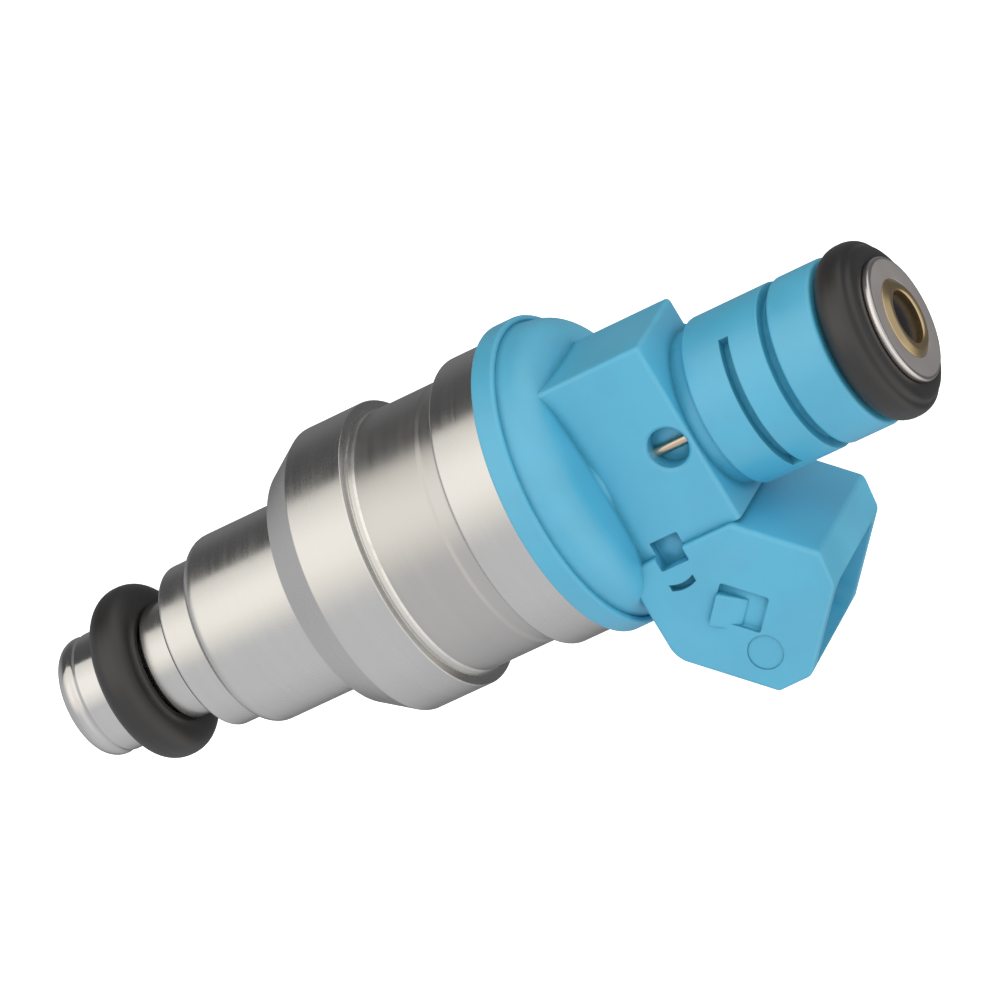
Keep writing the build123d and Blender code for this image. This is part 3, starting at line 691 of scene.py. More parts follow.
@dataclass(frozen=True)
class Moulding(Finish):
    """Moulded plastic or rubber with fine grain, flow clouds, paler edges that are partly rubbed and partly a
    painted highlight, dust, and painted shade in grooves and inner corners.
    """

    # Paler edge colour: partly rubbing, partly a painted highlight.
    edge: Color = (0.5, 0.7, 0.8)
    grain: float = 5200.0
    grain_depth: float = 0.006 * MM
    grain_strength: float = 0.3
    cloud: float = 0.10
    edge_share: float = 0.5
    dust: float = 0.2
    dust_color: Color = (0.55, 0.6, 0.62)
    dust_share: float = 0.5
    dust_roughness: float = 0.2
    smoother: float = 0.05
    rougher: float = 0.07
    specular: float = 0.45
    sheen: float = 0.0
    skin: float = 0.0
    skin_color: Color = (0.4, 0.8, 1.0)
    skin_depth: float = 0.8 * MM
    coat: float = 0.0
    layer_roughness: float = 0.5
    soft_edge: float = 0.12 * MM
    # Painted shade in grooves and inner corners: the colour's factor there and the share of gloss taken away.
    painted_cavity_shade: float = 0.66
    cavity_dulling: float = 0.85

    def dress(self) -> None:
        """Build the moulding's nodes."""
        tree, shader, place = self.start()
        feed(tree, shader, Sheen_Weight=self.sheen, Sheen_Roughness=self.layer_roughness,
             Coat_Roughness=self.layer_roughness, Subsurface_Weight=self.skin,
             Subsurface_Radius=self.skin_color, Subsurface_Scale=self.skin_depth)
        grain = self.effect(tree, "moulded_grain", place, Grain=self.grain)
        wear_and_highlight = self.effect(tree, "edge_wear_and_highlight", place)["Mask"]
        dust = self.effect(tree, "dust", place, Amount=self.dust)["Mask"]
        cavity = self.effect(tree, "cavity", place)["Mask"]
        deep, pale = scaled(self.color, 1 - self.cloud), scaled(self.color, 1 + self.cloud)
        clouded = mix_colors(tree, ramp(tree, grain["Tone"], 0.3, 0.7), deep, pale)
        # Paler edges, partly rubbing and partly a painted highlight.
        edged = mix_colors(tree, times(tree, wear_and_highlight, self.edge_share), clouded, self.edge)
        dusted = mix_colors(tree, times(tree, dust, self.dust_share), edged, self.dust_color)
        # Painted shade: grooves and inner corners darkened in the colour.
        shaded = mix_colors(tree, cavity, dusted, scaled(self.color, self.painted_cavity_shade))
        tree.links.new(shaded, shader.inputs["Base Color"])
        # Painted shade: gloss dimmed in grooves and inner corners.
        for label, full in (("Specular IOR Level", self.specular), ("Coat Weight", self.coat)):
            gloss = math_node(tree, "MULTIPLY_ADD", cavity, -self.cavity_dulling * full, full)
            tree.links.new(gloss, shader.inputs[label])
        rough = ramp(tree, grain["Tone"], 0.3, 0.7, self.roughness - self.smoother,
                     self.roughness + self.rougher)
        dull = math_node(tree, "ADD", rough, times(tree, dust, self.dust_roughness), clamp=True)
        tree.links.new(dull, shader.inputs["Roughness"])
        edges = feed(tree, add_node(tree, "ShaderNodeBevel", samples=EDGE_SAMPLES), Radius=self.soft_edge)
        self.emboss(tree, shader, grain["Height"], self.grain_strength, self.grain_depth, edges.outputs[0])


CAP_CHROME = TurnedMetal("bright_cap_steel", (0.70, 0.685, 0.67), 0.14, ring_strength=0.06, spread=0.05)
STEEL = TurnedMetal("turned_stainless", (0.70, 0.685, 0.66), 0.25)
SHELL_STEEL = TurnedMetal("drawn_shell_steel", (0.615, 0.595, 0.57), 0.32)
TUBE_STEEL = TurnedMetal("matt_tube_steel", (0.80, 0.75, 0.725), 0.55, ring_strength=0.2,
                         rim_radius=4.95 * MM)
GROUND_STEEL = TurnedMetal("ground_steel", (0.56, 0.56, 0.57), 0.28, rings=12000.0)
SPRING_STEEL = TurnedMetal("spring_wire", (0.42, 0.43, 0.46), 0.3, rings=3000.0)
BRASS = TurnedMetal("drawn_brass", (0.83, 0.64, 0.30), 0.24, rings=6000.0, ring_strength=0.15)
# The collar's bore gets painted shade below its mouth.
MOUTH_BRASS = TurnedMetal("mouth_brass_painted_shade", (0.68, 0.52, 0.29), 0.30, rings=6000.0, ring_strength=0.15,
                          painted_shade_top=77.3 * MM, painted_shade_length=0.9 * MM)
COPPER = TurnedMetal("enamelled_copper", (0.93, 0.58, 0.38), 0.26, rings=9000.0, ring_strength=0.1)
LEAD_COPPER = TurnedMetal("tinned_copper_lead", (0.74, 0.57, 0.43), 0.28, rings=9000.0, ring_strength=0.1)
TIN = TurnedMetal("tinned_blade", (0.74, 0.74, 0.72), 0.3, rings=4000.0, ring_strength=0.1)
BLUE = Moulding("blue_overmould", (0.068, 0.45, 0.69), 0.44, edge=(0.22, 0.56, 0.76), skin=0.05, cloud=0.04,
                dust=0.08, specular=1.0, coat=0.35, edge_share=0.25, soft_edge=0.2 * MM)
RUBBER = Moulding("black_seal_rubber", (0.0125, 0.0105, 0.0105), 0.42, edge=(0.04, 0.035, 0.034),
                  grain=3600.0, grain_strength=0.15, dust=0.2, dust_color=(0.08, 0.07, 0.066), sheen=0.04,
                  specular=0.75)
DARK_PLASTIC = Moulding("dark_bobbin_plastic", (0.02, 0.02, 0.022), 0.45, edge=(0.1, 0.1, 0.1), dust=0.1)
NYLON = Moulding("nylon_screen", (0.62, 0.60, 0.52), 0.5, edge=(0.7, 0.7, 0.6), grain=9000.0,
                 grain_strength=0.8)

KEPT_NODES = {
    "needle": GROUND_STEEL, "lift_stop_washer": GROUND_STEEL, "armature": GROUND_STEEL,
    "flux_washer": GROUND_STEEL, "return_spring": SPRING_STEEL,
    "housing_seal": RUBBER, "coil_seal_lower": RUBBER, "coil_seal_upper": RUBBER,
    "spacer_ring": BRASS, "adjuster_sleeve": BRASS,
    "coil_bobbin": DARK_PLASTIC, "filter_cage": DARK_PLASTIC, "filter_mesh": NYLON,
    "coil_winding": COPPER, "coil_lead_near": LEAD_COPPER, "coil_lead_far": LEAD_COPPER,
    "terminal_near": TIN, "terminal_far": TIN,
}


def clothe(piece: bpy.types.Object, finish: Finish) -> None:
    """Give a piece one finish in place of what it had."""
    piece.data.materials.clear()
    piece.data.materials.append(finish.material)


def hand_over(piece: bpy.types.Object, finish: Finish, node: str,
              angle: float = SMOOTH_ANGLE) -> None:
    """Shade and clothe a shaped piece, hang it on the injector body and hide the CAD node that it stands for.

    Args:
        piece: The shaped piece.
        finish: Its finish.
        node: The CAD node that it replaces.
        angle: The widest angle between two faces that is still shaded smooth.
    """
    smooth(piece, angle)
    clothe(piece, finish)
    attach(piece, ROOT_BODY)
    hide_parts(node)
    log.info("%s: %d faces, stands for %s", piece.name, len(piece.data.polygons), node)


# ------------------------------------------------------------------------------------ steel end


@dataclass
class NozzleEnd:
    """Nozzle cap, valve body and the lower sealing ring."""

    hole: float = 1.6 * MM
    hole_round: float = 0.25 * MM
    cap_round: float = 1.3 * MM
    line_height: float = 1.4 * MM
    line_width: float = 0.8 * MM
    line_depth: float = 0.14 * MM
    line_shoulder: float = 0.3 * MM
    line_valley: float = 0.35 * MM
    tip: float = 3.75 * MM
    nose: float = 4.86 * MM
    nose_round: float = 0.25 * MM
    step_length: float = 2.9 * MM
    step: float = 6.85 * MM
    step_round: float = 0.4 * MM
    step_edge: float = 0.08 * MM
    groove_spare: float = 0.1 * MM
    spigot: float = 6.0 * MM
    orifice: float = 0.55 * MM
    seat_start: float = 1.0 * MM
    guide: float = 2.0 * MM
    collar_bore: float = 3.2 * MM
    collar_depth: float = 1.4 * MM
    seal_depth: float = 0.8 * MM
    edge: float = 0.12 * MM
    ring_tilt: float = math.radians(1.2)

    def cap(self) -> None:
        """Bright cup with a rounded end, a fine line round it and the spray hole."""
        low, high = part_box("nozzle_cap")
        tip_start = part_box("valve_body")[0].z
        radius = high.x
        line = self.line_height
        piece = turn("nozzle_cap_cup", [
            Corner(self.hole, low.z, self.hole_round),
            Corner(radius, low.z, self.cap_round, 10),
            Corner(radius, line, self.line_shoulder),
            Corner(radius - self.line_depth, line + self.line_width / 2, self.line_valley, 7),
            Corner(radius, line + self.line_width, self.line_shoulder),
            Corner(radius, high.z, self.edge),
            Corner(self.tip, high.z),
            Corner(self.tip, tip_start),
            Corner(self.hole, tip_start),
        ])
        hand_over(piece, CAP_CHROME, "nozzle_cap")

    def valve_body(self) -> None:
        """Stepped nose with the bores that the needle runs in."""
        low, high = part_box("valve_body")
        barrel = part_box("lower_housing")[0].z
        seal_low, seal_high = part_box("housing_seal")
        nose_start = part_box("lower_o_ring")[1].z + self.groove_spare
        seat = low.z + self.seat_start
        piece = turn("valve_body_turned", [
            Corner(self.orifice, low.z),
            Corner(self.tip, low.z, self.edge),
            Corner(self.tip, nose_start),
            Corner(self.nose, nose_start, self.nose_round),
            Corner(self.nose, barrel - self.step_length),
            Corner(self.step, barrel - self.step_length, self.step_round, 6),
            Corner(self.step, barrel, self.step_edge, 2),
            Corner(self.spigot, barrel),
            Corner(self.spigot, seal_low.z),
            Corner(self.spigot - self.seal_depth, seal_low.z),
            Corner(self.spigot - self.seal_depth, seal_high.z),
            Corner(self.spigot, seal_high.z),
            Corner(self.spigot, high.z),
            Corner(self.collar_bore, high.z),
            Corner(self.collar_bore, high.z - self.collar_depth),
            Corner(self.guide, high.z - self.collar_depth),
            Corner(self.guide, seat + self.guide - self.orifice),
            Corner(self.orifice, seat),
        ])
        hand_over(piece, STEEL, "valve_body")

    def build(self) -> None:
        """Make the nozzle end's pieces."""
        self.cap()
        self.valve_body()
        SealingRing("lower_o_ring", tilt=self.ring_tilt).build()


@dataclass
class SealingRing:
    """Rubber ring squeezed into its groove, with the fine parting line of its mould."""

    node: str
    tilt: float = 0.0
    crease: float = 0.0
    crease_angle: float = math.radians(48)
    crease_width: float = math.radians(9)
    squeeze: float = 0.09 * MM
    fullness: float = 2.2
    flash: float = 0.035 * MM
    flash_angle: float = math.radians(3)
    sides: int = 72
    smooth_angle: float = math.radians(60)

    def section(self, angle: float, radius: float) -> Vector:
        """Point of the ring's section, measured from its middle.

        Args:
            angle: The angle up from the outward side.
            radius: Half the section's height.

        Returns:
            How far out and how far up the point is.
        """
        across, along = math.cos(angle), math.sin(angle)
        full = (abs(across) ** self.fullness + abs(along) ** self.fullness) ** (-1 / self.fullness)
        reach = radius * min(full, 1 / max(abs(across), abs(along)))
        reach -= self.crease * math.exp(-((angle - self.crease_angle) / self.crease_width) ** 2)
        if abs(angle) < self.flash_angle:
            reach -= self.flash
        return Vector((across * reach, along * (reach + self.squeeze)))

    def build(self) -> None:
        """Make the ring in its CAD node's place, tilted a little where it sits askew."""
        low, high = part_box(self.node)
        radius = (high.z - low.z) / 2
        middle = high.x - radius
        deselect()
        bpy.ops.mesh.primitive_torus_add(
            major_segments=ROUND_STEPS, minor_segments=self.sides, major_radius=middle, minor_radius=radius)
        piece = settle(bpy.context.object, f"{self.node}_moulded")
        for vertex in piece.data.vertices:
            around = Vector((vertex.co.x, vertex.co.y))
            point = self.section(math.atan2(vertex.co.z, around.length - middle), radius)
            across = (middle + point.x) / around.length
            vertex.co = Vector((around.x * across, around.y * across, point.y))
        skew = Quaternion((1, 0, 0), self.tilt).to_matrix().to_4x4()
        skew.translation = Vector((0, 0, (low.z + high.z) / 2))
        piece.data.transform(skew)
        hand_over(piece, RUBBER, self.node, self.smooth_angle)


@dataclass
class SteelBody:
    """Lower housing, solenoid shell and crimp collar."""

    spigot: float = 6.0 * MM
    barrel: float = 8.02 * MM
    barrel_round: float = 1.27 * MM
    face: float = 10.2 * MM
    barrel_length: float = 10.2 * MM
    cone_length: float = 3.1 * MM
    belt_round: float = 0.3 * MM
    armature_bore: float = 4.325 * MM
    wall: float = 1.2 * MM
    relief_length: float = 1.95 * MM
    relief_depth: float = 0.11 * MM
    relief_slope: float = 0.35 * MM
    relief_end: float = 0.5 * MM
    relief_round: float = 0.5 * MM
    relief_end_round: float = 0.4 * MM
    lip: float = 9.0 * MM
    rim_round: float = 0.35 * MM
    bead_width: float = 0.18 * MM
    bead_height: float = 0.7 * MM
    bead_front: float = 0.3
    bead_foot_round: float = 0.05 * MM
    bead_round: float = 0.15 * MM
    edge: float = 0.1 * MM

    def housing(self) -> None:
        """Barrel, flat face, cone and belt, with the bores inside."""
        low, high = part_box("lower_housing")
        shell_low, shell_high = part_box("solenoid_shell")
        washer_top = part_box("lift_stop_washer")[1].z
        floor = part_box("spacer_ring")[0].z
        cone = low.z + self.barrel_length
        bead = shell_high.x + self.bead_width
        piece = turn("lower_housing_turned", [
            Corner(self.spigot, low.z),
            Corner(self.barrel, low.z, self.barrel_round, 9),
            Corner(self.barrel, cone, self.edge, 3),
            Corner(self.face, cone, self.edge),
            Corner(high.x, cone + self.cone_length, self.belt_round, 6),
            Corner(high.x, high.z, self.edge),
            Corner(bead, high.z, self.bead_foot_round, 2),
            Corner(bead, high.z + self.bead_front * self.bead_height, self.bead_round, 4),
            Corner(shell_high.x, high.z + self.bead_height),
            Corner(shell_high.x, shell_low.z),
            Corner(shell_high.x - self.wall, shell_low.z),
            Corner(shell_high.x - self.wall, floor),
            Corner(self.armature_bore, floor),
            Corner(self.armature_bore, washer_top),
            Corner(self.spigot, washer_top),
        ])
        hand_over(piece, STEEL, "lower_housing")

    def shell(self) -> None:
        """Plain tube with a shallow relief below the crimp collar."""
        low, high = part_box("solenoid_shell")
        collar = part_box("crimp_collar")[0].z
        inner = high.x - self.wall
        relief = collar - self.relief_length
        piece = turn("solenoid_shell_turned", [
            Corner(inner, low.z),
            Corner(high.x, low.z, self.edge),
            Corner(high.x, relief, self.relief_round),
            Corner(high.x - self.relief_depth, relief + self.relief_slope, self.relief_round),
            Corner(high.x - self.relief_depth, collar - self.relief_end, self.relief_end_round),
            Corner(high.x, collar),
            Corner(high.x, high.z),
            Corner(inner, high.z),
        ])
        hand_over(piece, SHELL_STEEL, "solenoid_shell")

    def collar(self) -> None:
        """Wide ring crimped over the shell, with its lip under the plastic flange."""
        low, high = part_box("crimp_collar")
        shell_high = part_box("solenoid_shell")[1]
        piece = turn("crimp_collar_turned", [
            Corner(shell_high.x, low.z),
            Corner(high.x, low.z, self.rim_round, 6),
            Corner(high.x, high.z, self.edge),
            Corner(self.lip, high.z),
            Corner(self.lip, shell_high.z),
            Corner(shell_high.x, shell_high.z),
        ])
        hand_over(piece, STEEL, "crimp_collar")

    def build(self) -> None:
        """Make the steel body's pieces."""
        self.housing()
        self.shell()
        self.collar()


@dataclass
class InletEnd:
    """Inlet tube with its flared end, the filter's brass collar and the upper sealing ring."""

    core_bore: float = 2.5 * MM
    core: float = 4.3 * MM
    core_round: float = 0.2 * MM
    neck: float = 3.75 * MM
    mouth: float = 3.27 * MM
    mouth_round: float = 0.12 * MM
    bore_step: float = 0.5 * MM
    flare_round: float = 0.28 * MM
    edge: float = 0.1 * MM
    collar_bore: float = 2.2 * MM
    collar_crown: float = 0.55
    crown_round: float = 0.5 * MM
    lip_drop: float = 0.1 * MM
    lip_round: float = 0.2 * MM
    groove_spare: float = 0.1 * MM
    ring_crease: float = 0.16 * MM

    def tube(self) -> None:
        """Long tube that is also the magnet's core."""
        low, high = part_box("inlet_tube")
        ring_low, ring_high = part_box("upper_o_ring")
        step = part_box("filter_cage")[0].z - self.bore_step
        groove = ring_low.z - self.groove_spare
        flare = ring_high.z + self.groove_spare
        piece = turn("inlet_tube_turned", [
            Corner(self.core_bore, low.z),
            Corner(self.core, low.z, self.core_round),
            Corner(self.core, groove),
            Corner(self.neck, groove),
            Corner(self.neck, flare),
            Corner(high.x, flare, self.edge),
            Corner(high.x, high.z, self.flare_round, 8),
            Corner(self.mouth, high.z, self.mouth_round),
            Corner(self.mouth, step),
            Corner(self.core_bore, step),
        ])
        hand_over(piece, TUBE_STEEL, "inlet_tube")

    def filter_collar(self) -> None:
        """Drawn brass collar with a domed lip that stands proud of the tube."""
        low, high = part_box("filter_collar")
        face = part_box("inlet_tube")[1].z
        crown = high.x - self.collar_crown * (high.x - self.collar_bore)
        piece = turn("filter_collar_drawn", [
            Corner(self.collar_bore, low.z),
            Corner(high.x, low.z, self.edge),
            Corner(high.x, face, self.edge),
            Corner(crown, high.z, self.crown_round, 8),
            Corner(self.collar_bore, high.z - self.lip_drop, self.lip_round, 6),
        ])
        hand_over(piece, MOUTH_BRASS, "filter_collar")

    def build(self) -> None:
        """Make the inlet end's pieces."""
        self.tube()
        self.filter_collar()
        SealingRing("upper_o_ring", crease=self.ring_crease).build()


# ------------------------------------------------------------------------------------ plastic overmould


@dataclass(frozen=True)
class WallDetails:
    """Sizes of what each side wall of the socket carries.

    A depth is measured back from the socket's mouth, a rise towards the injector, and a height up from the
    block's foot.
    """

    rounding: float = 0.2 * MM
    catch_depth: float = 7.4 * MM
    catch_rise: float = -1.0 * MM
    catch_length: float = 2.5 * MM
    catch_height: float = 2.8 * MM
    catch_proud: float = 0.6 * MM
    catch_root: float = 0.3 * MM
    catch_slope: float = 0.75
    pocket_sink: float = 0.45 * MM
    pocket_beside: float = 1.5 * MM
    pocket_above: float = 0.8 * MM
    pocket_foot: float = 0.5 * MM
    notch_from: float = 5.8 * MM
    notch_to: float = 8.1 * MM
    notch_low: float = 1.3 * MM
    notch_high: float = 3.8 * MM
    notch_sink: float = 1.6 * MM
    notch_beyond: float = 0.5 * MM
    notch_round: float = 0.12 * MM
    slit_from: float = 9.4 * MM
    slit_to: float = 9.95 * MM
    slit_middle: float = 2.3 * MM
    slit_half: float = 1.1 * MM
    slit_sink: float = 0.8 * MM
    slit_bow: float = 0.25 * MM
    slit_shift: float = 0.12 * MM
    slit_cuts: int = 5
    mark_depth: float = 3.89 * MM
    mark_rise: float = -3.37 * MM
    mark_radius: float = 1.45 * MM
    mark_sink: float = 0.12 * MM


@dataclass
class Overmould:
    """Blue moulding: flange, block, neck and the electrical socket."""

    bore: float = 4.3 * MM
    plug: float = 9.0 * MM
    rim_length: float = 2.0 * MM
    rim_foot_round: float = 0.15 * MM
    rim_round: float = 0.25 * MM
    dome_length: float = 3.1 * MM
    dome_inset: float = 0.45 * MM
    dome_shoulder: float = 0.75
    dome_drop: float = 0.05 * MM
    dome_round: float = 2.75 * MM
    crease_inset: float = 0.1 * MM
    crease_depth: float = 0.12 * MM
    crease_width: float = 0.22 * MM
    crease_lift: float = 0.04 * MM
    block_length: float = 9.0 * MM
    undercut_length: float = 1.3 * MM
    neck: float = 7.0 * MM
    neck_round: float = 0.3 * MM
    undercut: float = 6.4 * MM
    crest: float = 9.8 * MM
    crown: float = 0.45 * MM
    crown_round: float = 0.5 * MM
    groove_height: float = 7.4 * MM
    groove_width: float = 0.8 * MM
    groove_depth: float = 0.95 * MM
    groove_edge: float = 0.08 * MM
    groove_round: float = 0.15 * MM
    groove_floor_share: float = 0.6
    groove_lip_share: float = 1.2
    slot_height: float = 3.9 * MM
    slot_width: float = 0.85 * MM
    slot_depth: float = 0.8 * MM
    slot_half_angle: float = math.radians(55)
    slot_steps: int = 48
    block_top: float = 8.8 * MM
    block_near: float = 7.05 * MM
    block_far: float = 3.2 * MM
    block_reach: float = 7.0 * MM
    block_root: float = 0.5 * MM
    block_proud: float = 0.02 * MM
    block_softness: float = 1.4
    window: Vector = field(default_factory=lambda: Vector((-0.45 * MM, 0, -2.2 * MM)))
    window_radius: float = 1.68 * MM
    window_depth: float = 1.8 * MM
    window_rim: float = 0.2 * MM
    window_flare: float = 1.3
    soft: float = 0.28 * MM

    tilt: float = math.radians(44)
    reach: float = 17.68 * MM
    mouth_rise: float = 10.4 * MM
    width: float = 15.4 * MM
    thickness: float = 12.58 * MM
    length: float = 17 * MM
    upper_wall: float = 2.75 * MM
    lower_wall: float = 2.3 * MM
    side_wall: float = 1.4 * MM
    depth: float = 9.5 * MM
    cavity_beyond: float = 2 * MM
    cavity_round: float = 1.2 * MM
    mouth_round: float = 0.2 * MM
    ledge: float = 6.9 * MM
    heel_drop: float = 1.55 * MM
    front_cut: float = 2.1 * MM
    rim_setback: float = 1.77 * MM
    rim_drop: float = 2.37 * MM
    edge_round: float = 0.45 * MM
    heel_round: float = 0.9 * MM
    heel_touch: float = 0.05 * MM
    sharp: float = math.radians(20)
    smooth_angle: float = math.radians(28)
    details: WallDetails = WallDetails()

    def __post_init__(self) -> None:
        """Work out the stations along the axis and the socket's directions."""
        low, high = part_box("overmould_body")
        self.bottom = low.z
        self.top = high.z
        self.flange_radius = -low.x
        self.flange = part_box("crimp_collar")[1].z
        self.rim = self.flange + self.rim_length
        self.block = self.rim + self.dome_length
        self.block_end = self.block + self.block_length
        self.neck_start = self.block_end + self.undercut_length
        self.heel = self.block - self.heel_drop
        self.mouth = Vector((self.reach, 0, self.block + self.mouth_rise))
        self.outward = Vector((math.sin(self.tilt), 0, math.cos(self.tilt)))
        self.upward = Vector((-math.cos(self.tilt), 0, math.sin(self.tilt)))

    def on_socket(self, depth: float, rise: float, across: float = 0.0) -> Vector:
        """Point behind the socket's mouth, a rise towards the injector and a way across."""
        return self.mouth - self.outward * depth + self.upward * rise + Vector((0, across, 0))

    def socket_box(self, name: str, middle: Vector, size: tuple[float, float, float]) -> bpy.types.Object:
        """Box that leans with the socket, to be shaped further.

        Args:
            name: The new object's name.
            middle: Its middle.
            size: Its height, width and length along the socket.

        Returns:
            The box.
        """
        deselect()
        bpy.ops.mesh.primitive_cube_add(size=1, location=middle, rotation=(0, self.tilt, 0), scale=size)
        return settle(bpy.context.object, name)

    def core(self) -> bpy.types.Object:
        """Turned part of the moulding, from its plug under the collar to the end of the neck.

        Returns:
            The turned part.
        """
        groove = self.neck_start + self.groove_height
        half = self.groove_width / 2
        groove_floor = self.neck - self.groove_depth
        foot = self.flange_radius - self.dome_inset
        shoulder = self.crest + self.dome_shoulder * (foot - self.crest)
        return turn("overmould_moulded", [
            Corner(self.bore, self.bottom),
            Corner(self.plug, self.bottom),
            Corner(self.plug, self.flange),
            Corner(self.flange_radius, self.flange, self.rim_foot_round, 4),
            Corner(self.flange_radius, self.rim, self.rim_round),
            Corner(foot, self.rim),
            Corner(foot - self.crease_inset, self.rim - self.crease_depth),
            Corner(foot - self.crease_width, self.rim + self.crease_lift),
            Corner(shoulder, self.block - self.dome_drop, self.dome_round, 14),
            Corner(self.neck, self.block + self.crown, self.crown_round),
            Corner(self.neck, self.block_end),
            Corner(self.undercut, self.block_end),
            Corner(self.undercut, self.neck_start),
            Corner(self.neck, self.neck_start, self.soft, 4),
            Corner(self.neck, groove - half, self.groove_edge, 3),
            Corner(groove_floor, groove - half, self.groove_round, 4),
            Corner(groove_floor, groove + half * self.groove_floor_share, self.groove_round, 4),
            Corner(self.neck, groove + half * self.groove_lip_share, self.neck_round, 4),
            Corner(self.neck, self.top, self.neck_round),
            Corner(self.bore, self.top),
        ])

    def slot_cutter(self, middle: float) -> bpy.types.Object:
        """Curved cutter for one of the neck's short slots.

        Args:
            middle: The slot's middle, as an angle round the neck.

        Returns:
            The cutter.
        """
        height = self.neck_start + self.slot_height
        deselect()
        bpy.ops.mesh.primitive_plane_add(
            size=1, location=(self.neck, 0, height), rotation=(math.pi / 2, 0, 0))
        bpy.context.object.scale = (2 * self.slot_depth, self.slot_width, 1)
        cutter = settle(bpy.context.object, "slot_cutter")
        turn_by = Quaternion((0, 0, 1), middle + self.slot_half_angle).to_matrix().to_4x4()
        cutter.data.transform(turn_by)
        start_edit(cutter, picked="SELECT")
        bpy.ops.mesh.spin(
            steps=self.slot_steps, angle=2 * self.slot_half_angle, center=(0, 0, height), axis=(0, 0, 1))
        bpy.ops.mesh.select_all(action="SELECT")
        bpy.ops.mesh.normals_make_consistent(inside=False)
        bpy.ops.object.mode_set(mode="OBJECT")
        return cutter

    def block_solid(self) -> bpy.types.Object:
        """Flat-sided block with softened outer edges.

        Returns:
            The block, which reaches a little into the neck's undercut.
        """
        low = Vector((-self.block_top, -self.block_near, self.rim + self.block_root))
        high = Vector((self.block_reach, self.block_far, self.block_end + self.block_proud))
        piece = box_piece("block", low, high)
        top, left = high.z - TOUCH, low.x + TOUCH
        pick_edges(piece, lambda a, b: (min(a.z, b.z) > top and min(a.x, b.x) < 0) or max(a.x, b.x) < left)
        bevel_picked(self.soft * self.block_softness, 4)
        return piece

    def shroud(self) -> bpy.types.Object:
        """Socket's outside, cut from a tilted box, with its cavity and mouth.

        Returns:
            The hollow socket.
        """
        half = self.thickness / 2
        piece = self.socket_box("shroud", self.on_socket(self.length / 2, 0),
                                (self.thickness, self.width, self.length))
        low_cut = (self.outward - self.upward).normalized()
        rim_cut = (self.outward * self.rim_drop + self.upward * self.rim_setback).normalized()
        planes = [
            (Vector((self.ledge, 0, 0)), Vector((-1, 0, 0))),
            (Vector((0, 0, self.heel)), Vector((0, 0, -1))),
            (self.on_socket(0, self.front_cut - half), low_cut),
            (self.on_socket(0, half - self.rim_drop), rim_cut),
        ]
        for point, normal in planes:
            start_edit(piece, picked="SELECT")
            bpy.ops.mesh.bisect(plane_co=point, plane_no=normal, use_fill=True, clear_outer=True)
            bpy.ops.object.mode_set(mode="OBJECT")
        heel_depth = (self.mouth.z - self.heel - half * math.sin(self.tilt)) / math.cos(self.tilt)
        heel = self.on_socket(heel_depth, -half)

        def at_heel(point: Vector) -> bool:
            """Whether a point is on the heel's edge."""
            return abs(point.x - heel.x) + abs(point.z - heel.z) < self.heel_touch

        pick_edges(piece, lambda a, b: at_heel(a) and at_heel(b))
        bevel_picked(self.heel_round, 8)

        def on_roof(point: Vector) -> bool:
            """Whether a point is on the roof of the socket."""
            return abs((point - self.mouth).dot(self.upward) - half) < TOUCH

        pick_edges(piece, lambda a, b: on_roof(a) and on_roof(b) and abs(a.y - b.y) < TOUCH)
        bevel_picked(self.edge_round, 5)
        start_edit(piece, "EDGE")
        bpy.ops.mesh.edges_select_sharp(sharpness=self.sharp)
        bevel_picked(self.soft, 4)
        self.hollow(piece)
        return piece

    def hollow(self, piece: bpy.types.Object) -> None:
        """Cut the plug's cavity into the shroud and soften its mouth.

        Args:
            piece: The shroud.
        """
        rise = (self.lower_wall - self.upper_wall) / 2
        tall = self.thickness - self.lower_wall - self.upper_wall
        wide = self.width - 2 * self.side_wall
        cutter = self.socket_box("cavity_cutter", self.on_socket((self.depth - self.cavity_beyond) / 2, rise),
                                 (tall, wide, self.depth + self.cavity_beyond))
        pick_edges(cutter, lambda a, b: abs((a - b).dot(self.outward)) > self.depth)
        bevel_picked(self.cavity_round, 6)
        combine(piece, cutter, Place.CUT)

        def at_mouth(point: Vector) -> bool:
            """Whether a point is on the cavity's rim.

            Args:
                point: The point to test.

            Returns:
                True on the rim.
            """
            offset = point - self.on_socket(0, rise)
            inside = abs(offset.dot(self.upward)) < tall / 2 + TOUCH and abs(offset.y) < wide / 2 + TOUCH
            return abs(offset.dot(self.outward)) < TOUCH and inside

        pick_edges(piece, lambda a, b: at_mouth(a) and at_mouth(b))
        bevel_picked(self.mouth_round, 3)

    def pocket_cutter(self, wall: float) -> bpy.types.Object:
        """Cutter for the shallow pocket that the catch stands in.

        Args:
            wall: The wall's place across the socket.

        Returns:
            The cutter.
        """
        sizes = self.details
        middle = self.on_socket(sizes.catch_depth - sizes.pocket_beside / 2,
                                sizes.catch_rise + (sizes.pocket_above + sizes.pocket_foot) / 2, wall)
        cutter = self.socket_box("pocket_cutter", middle, (
            sizes.catch_height + sizes.pocket_above - sizes.pocket_foot, 2 * sizes.pocket_sink,
            sizes.catch_length + sizes.pocket_beside))
        bevel_all(cutter, sizes.rounding, 3)
        return cutter

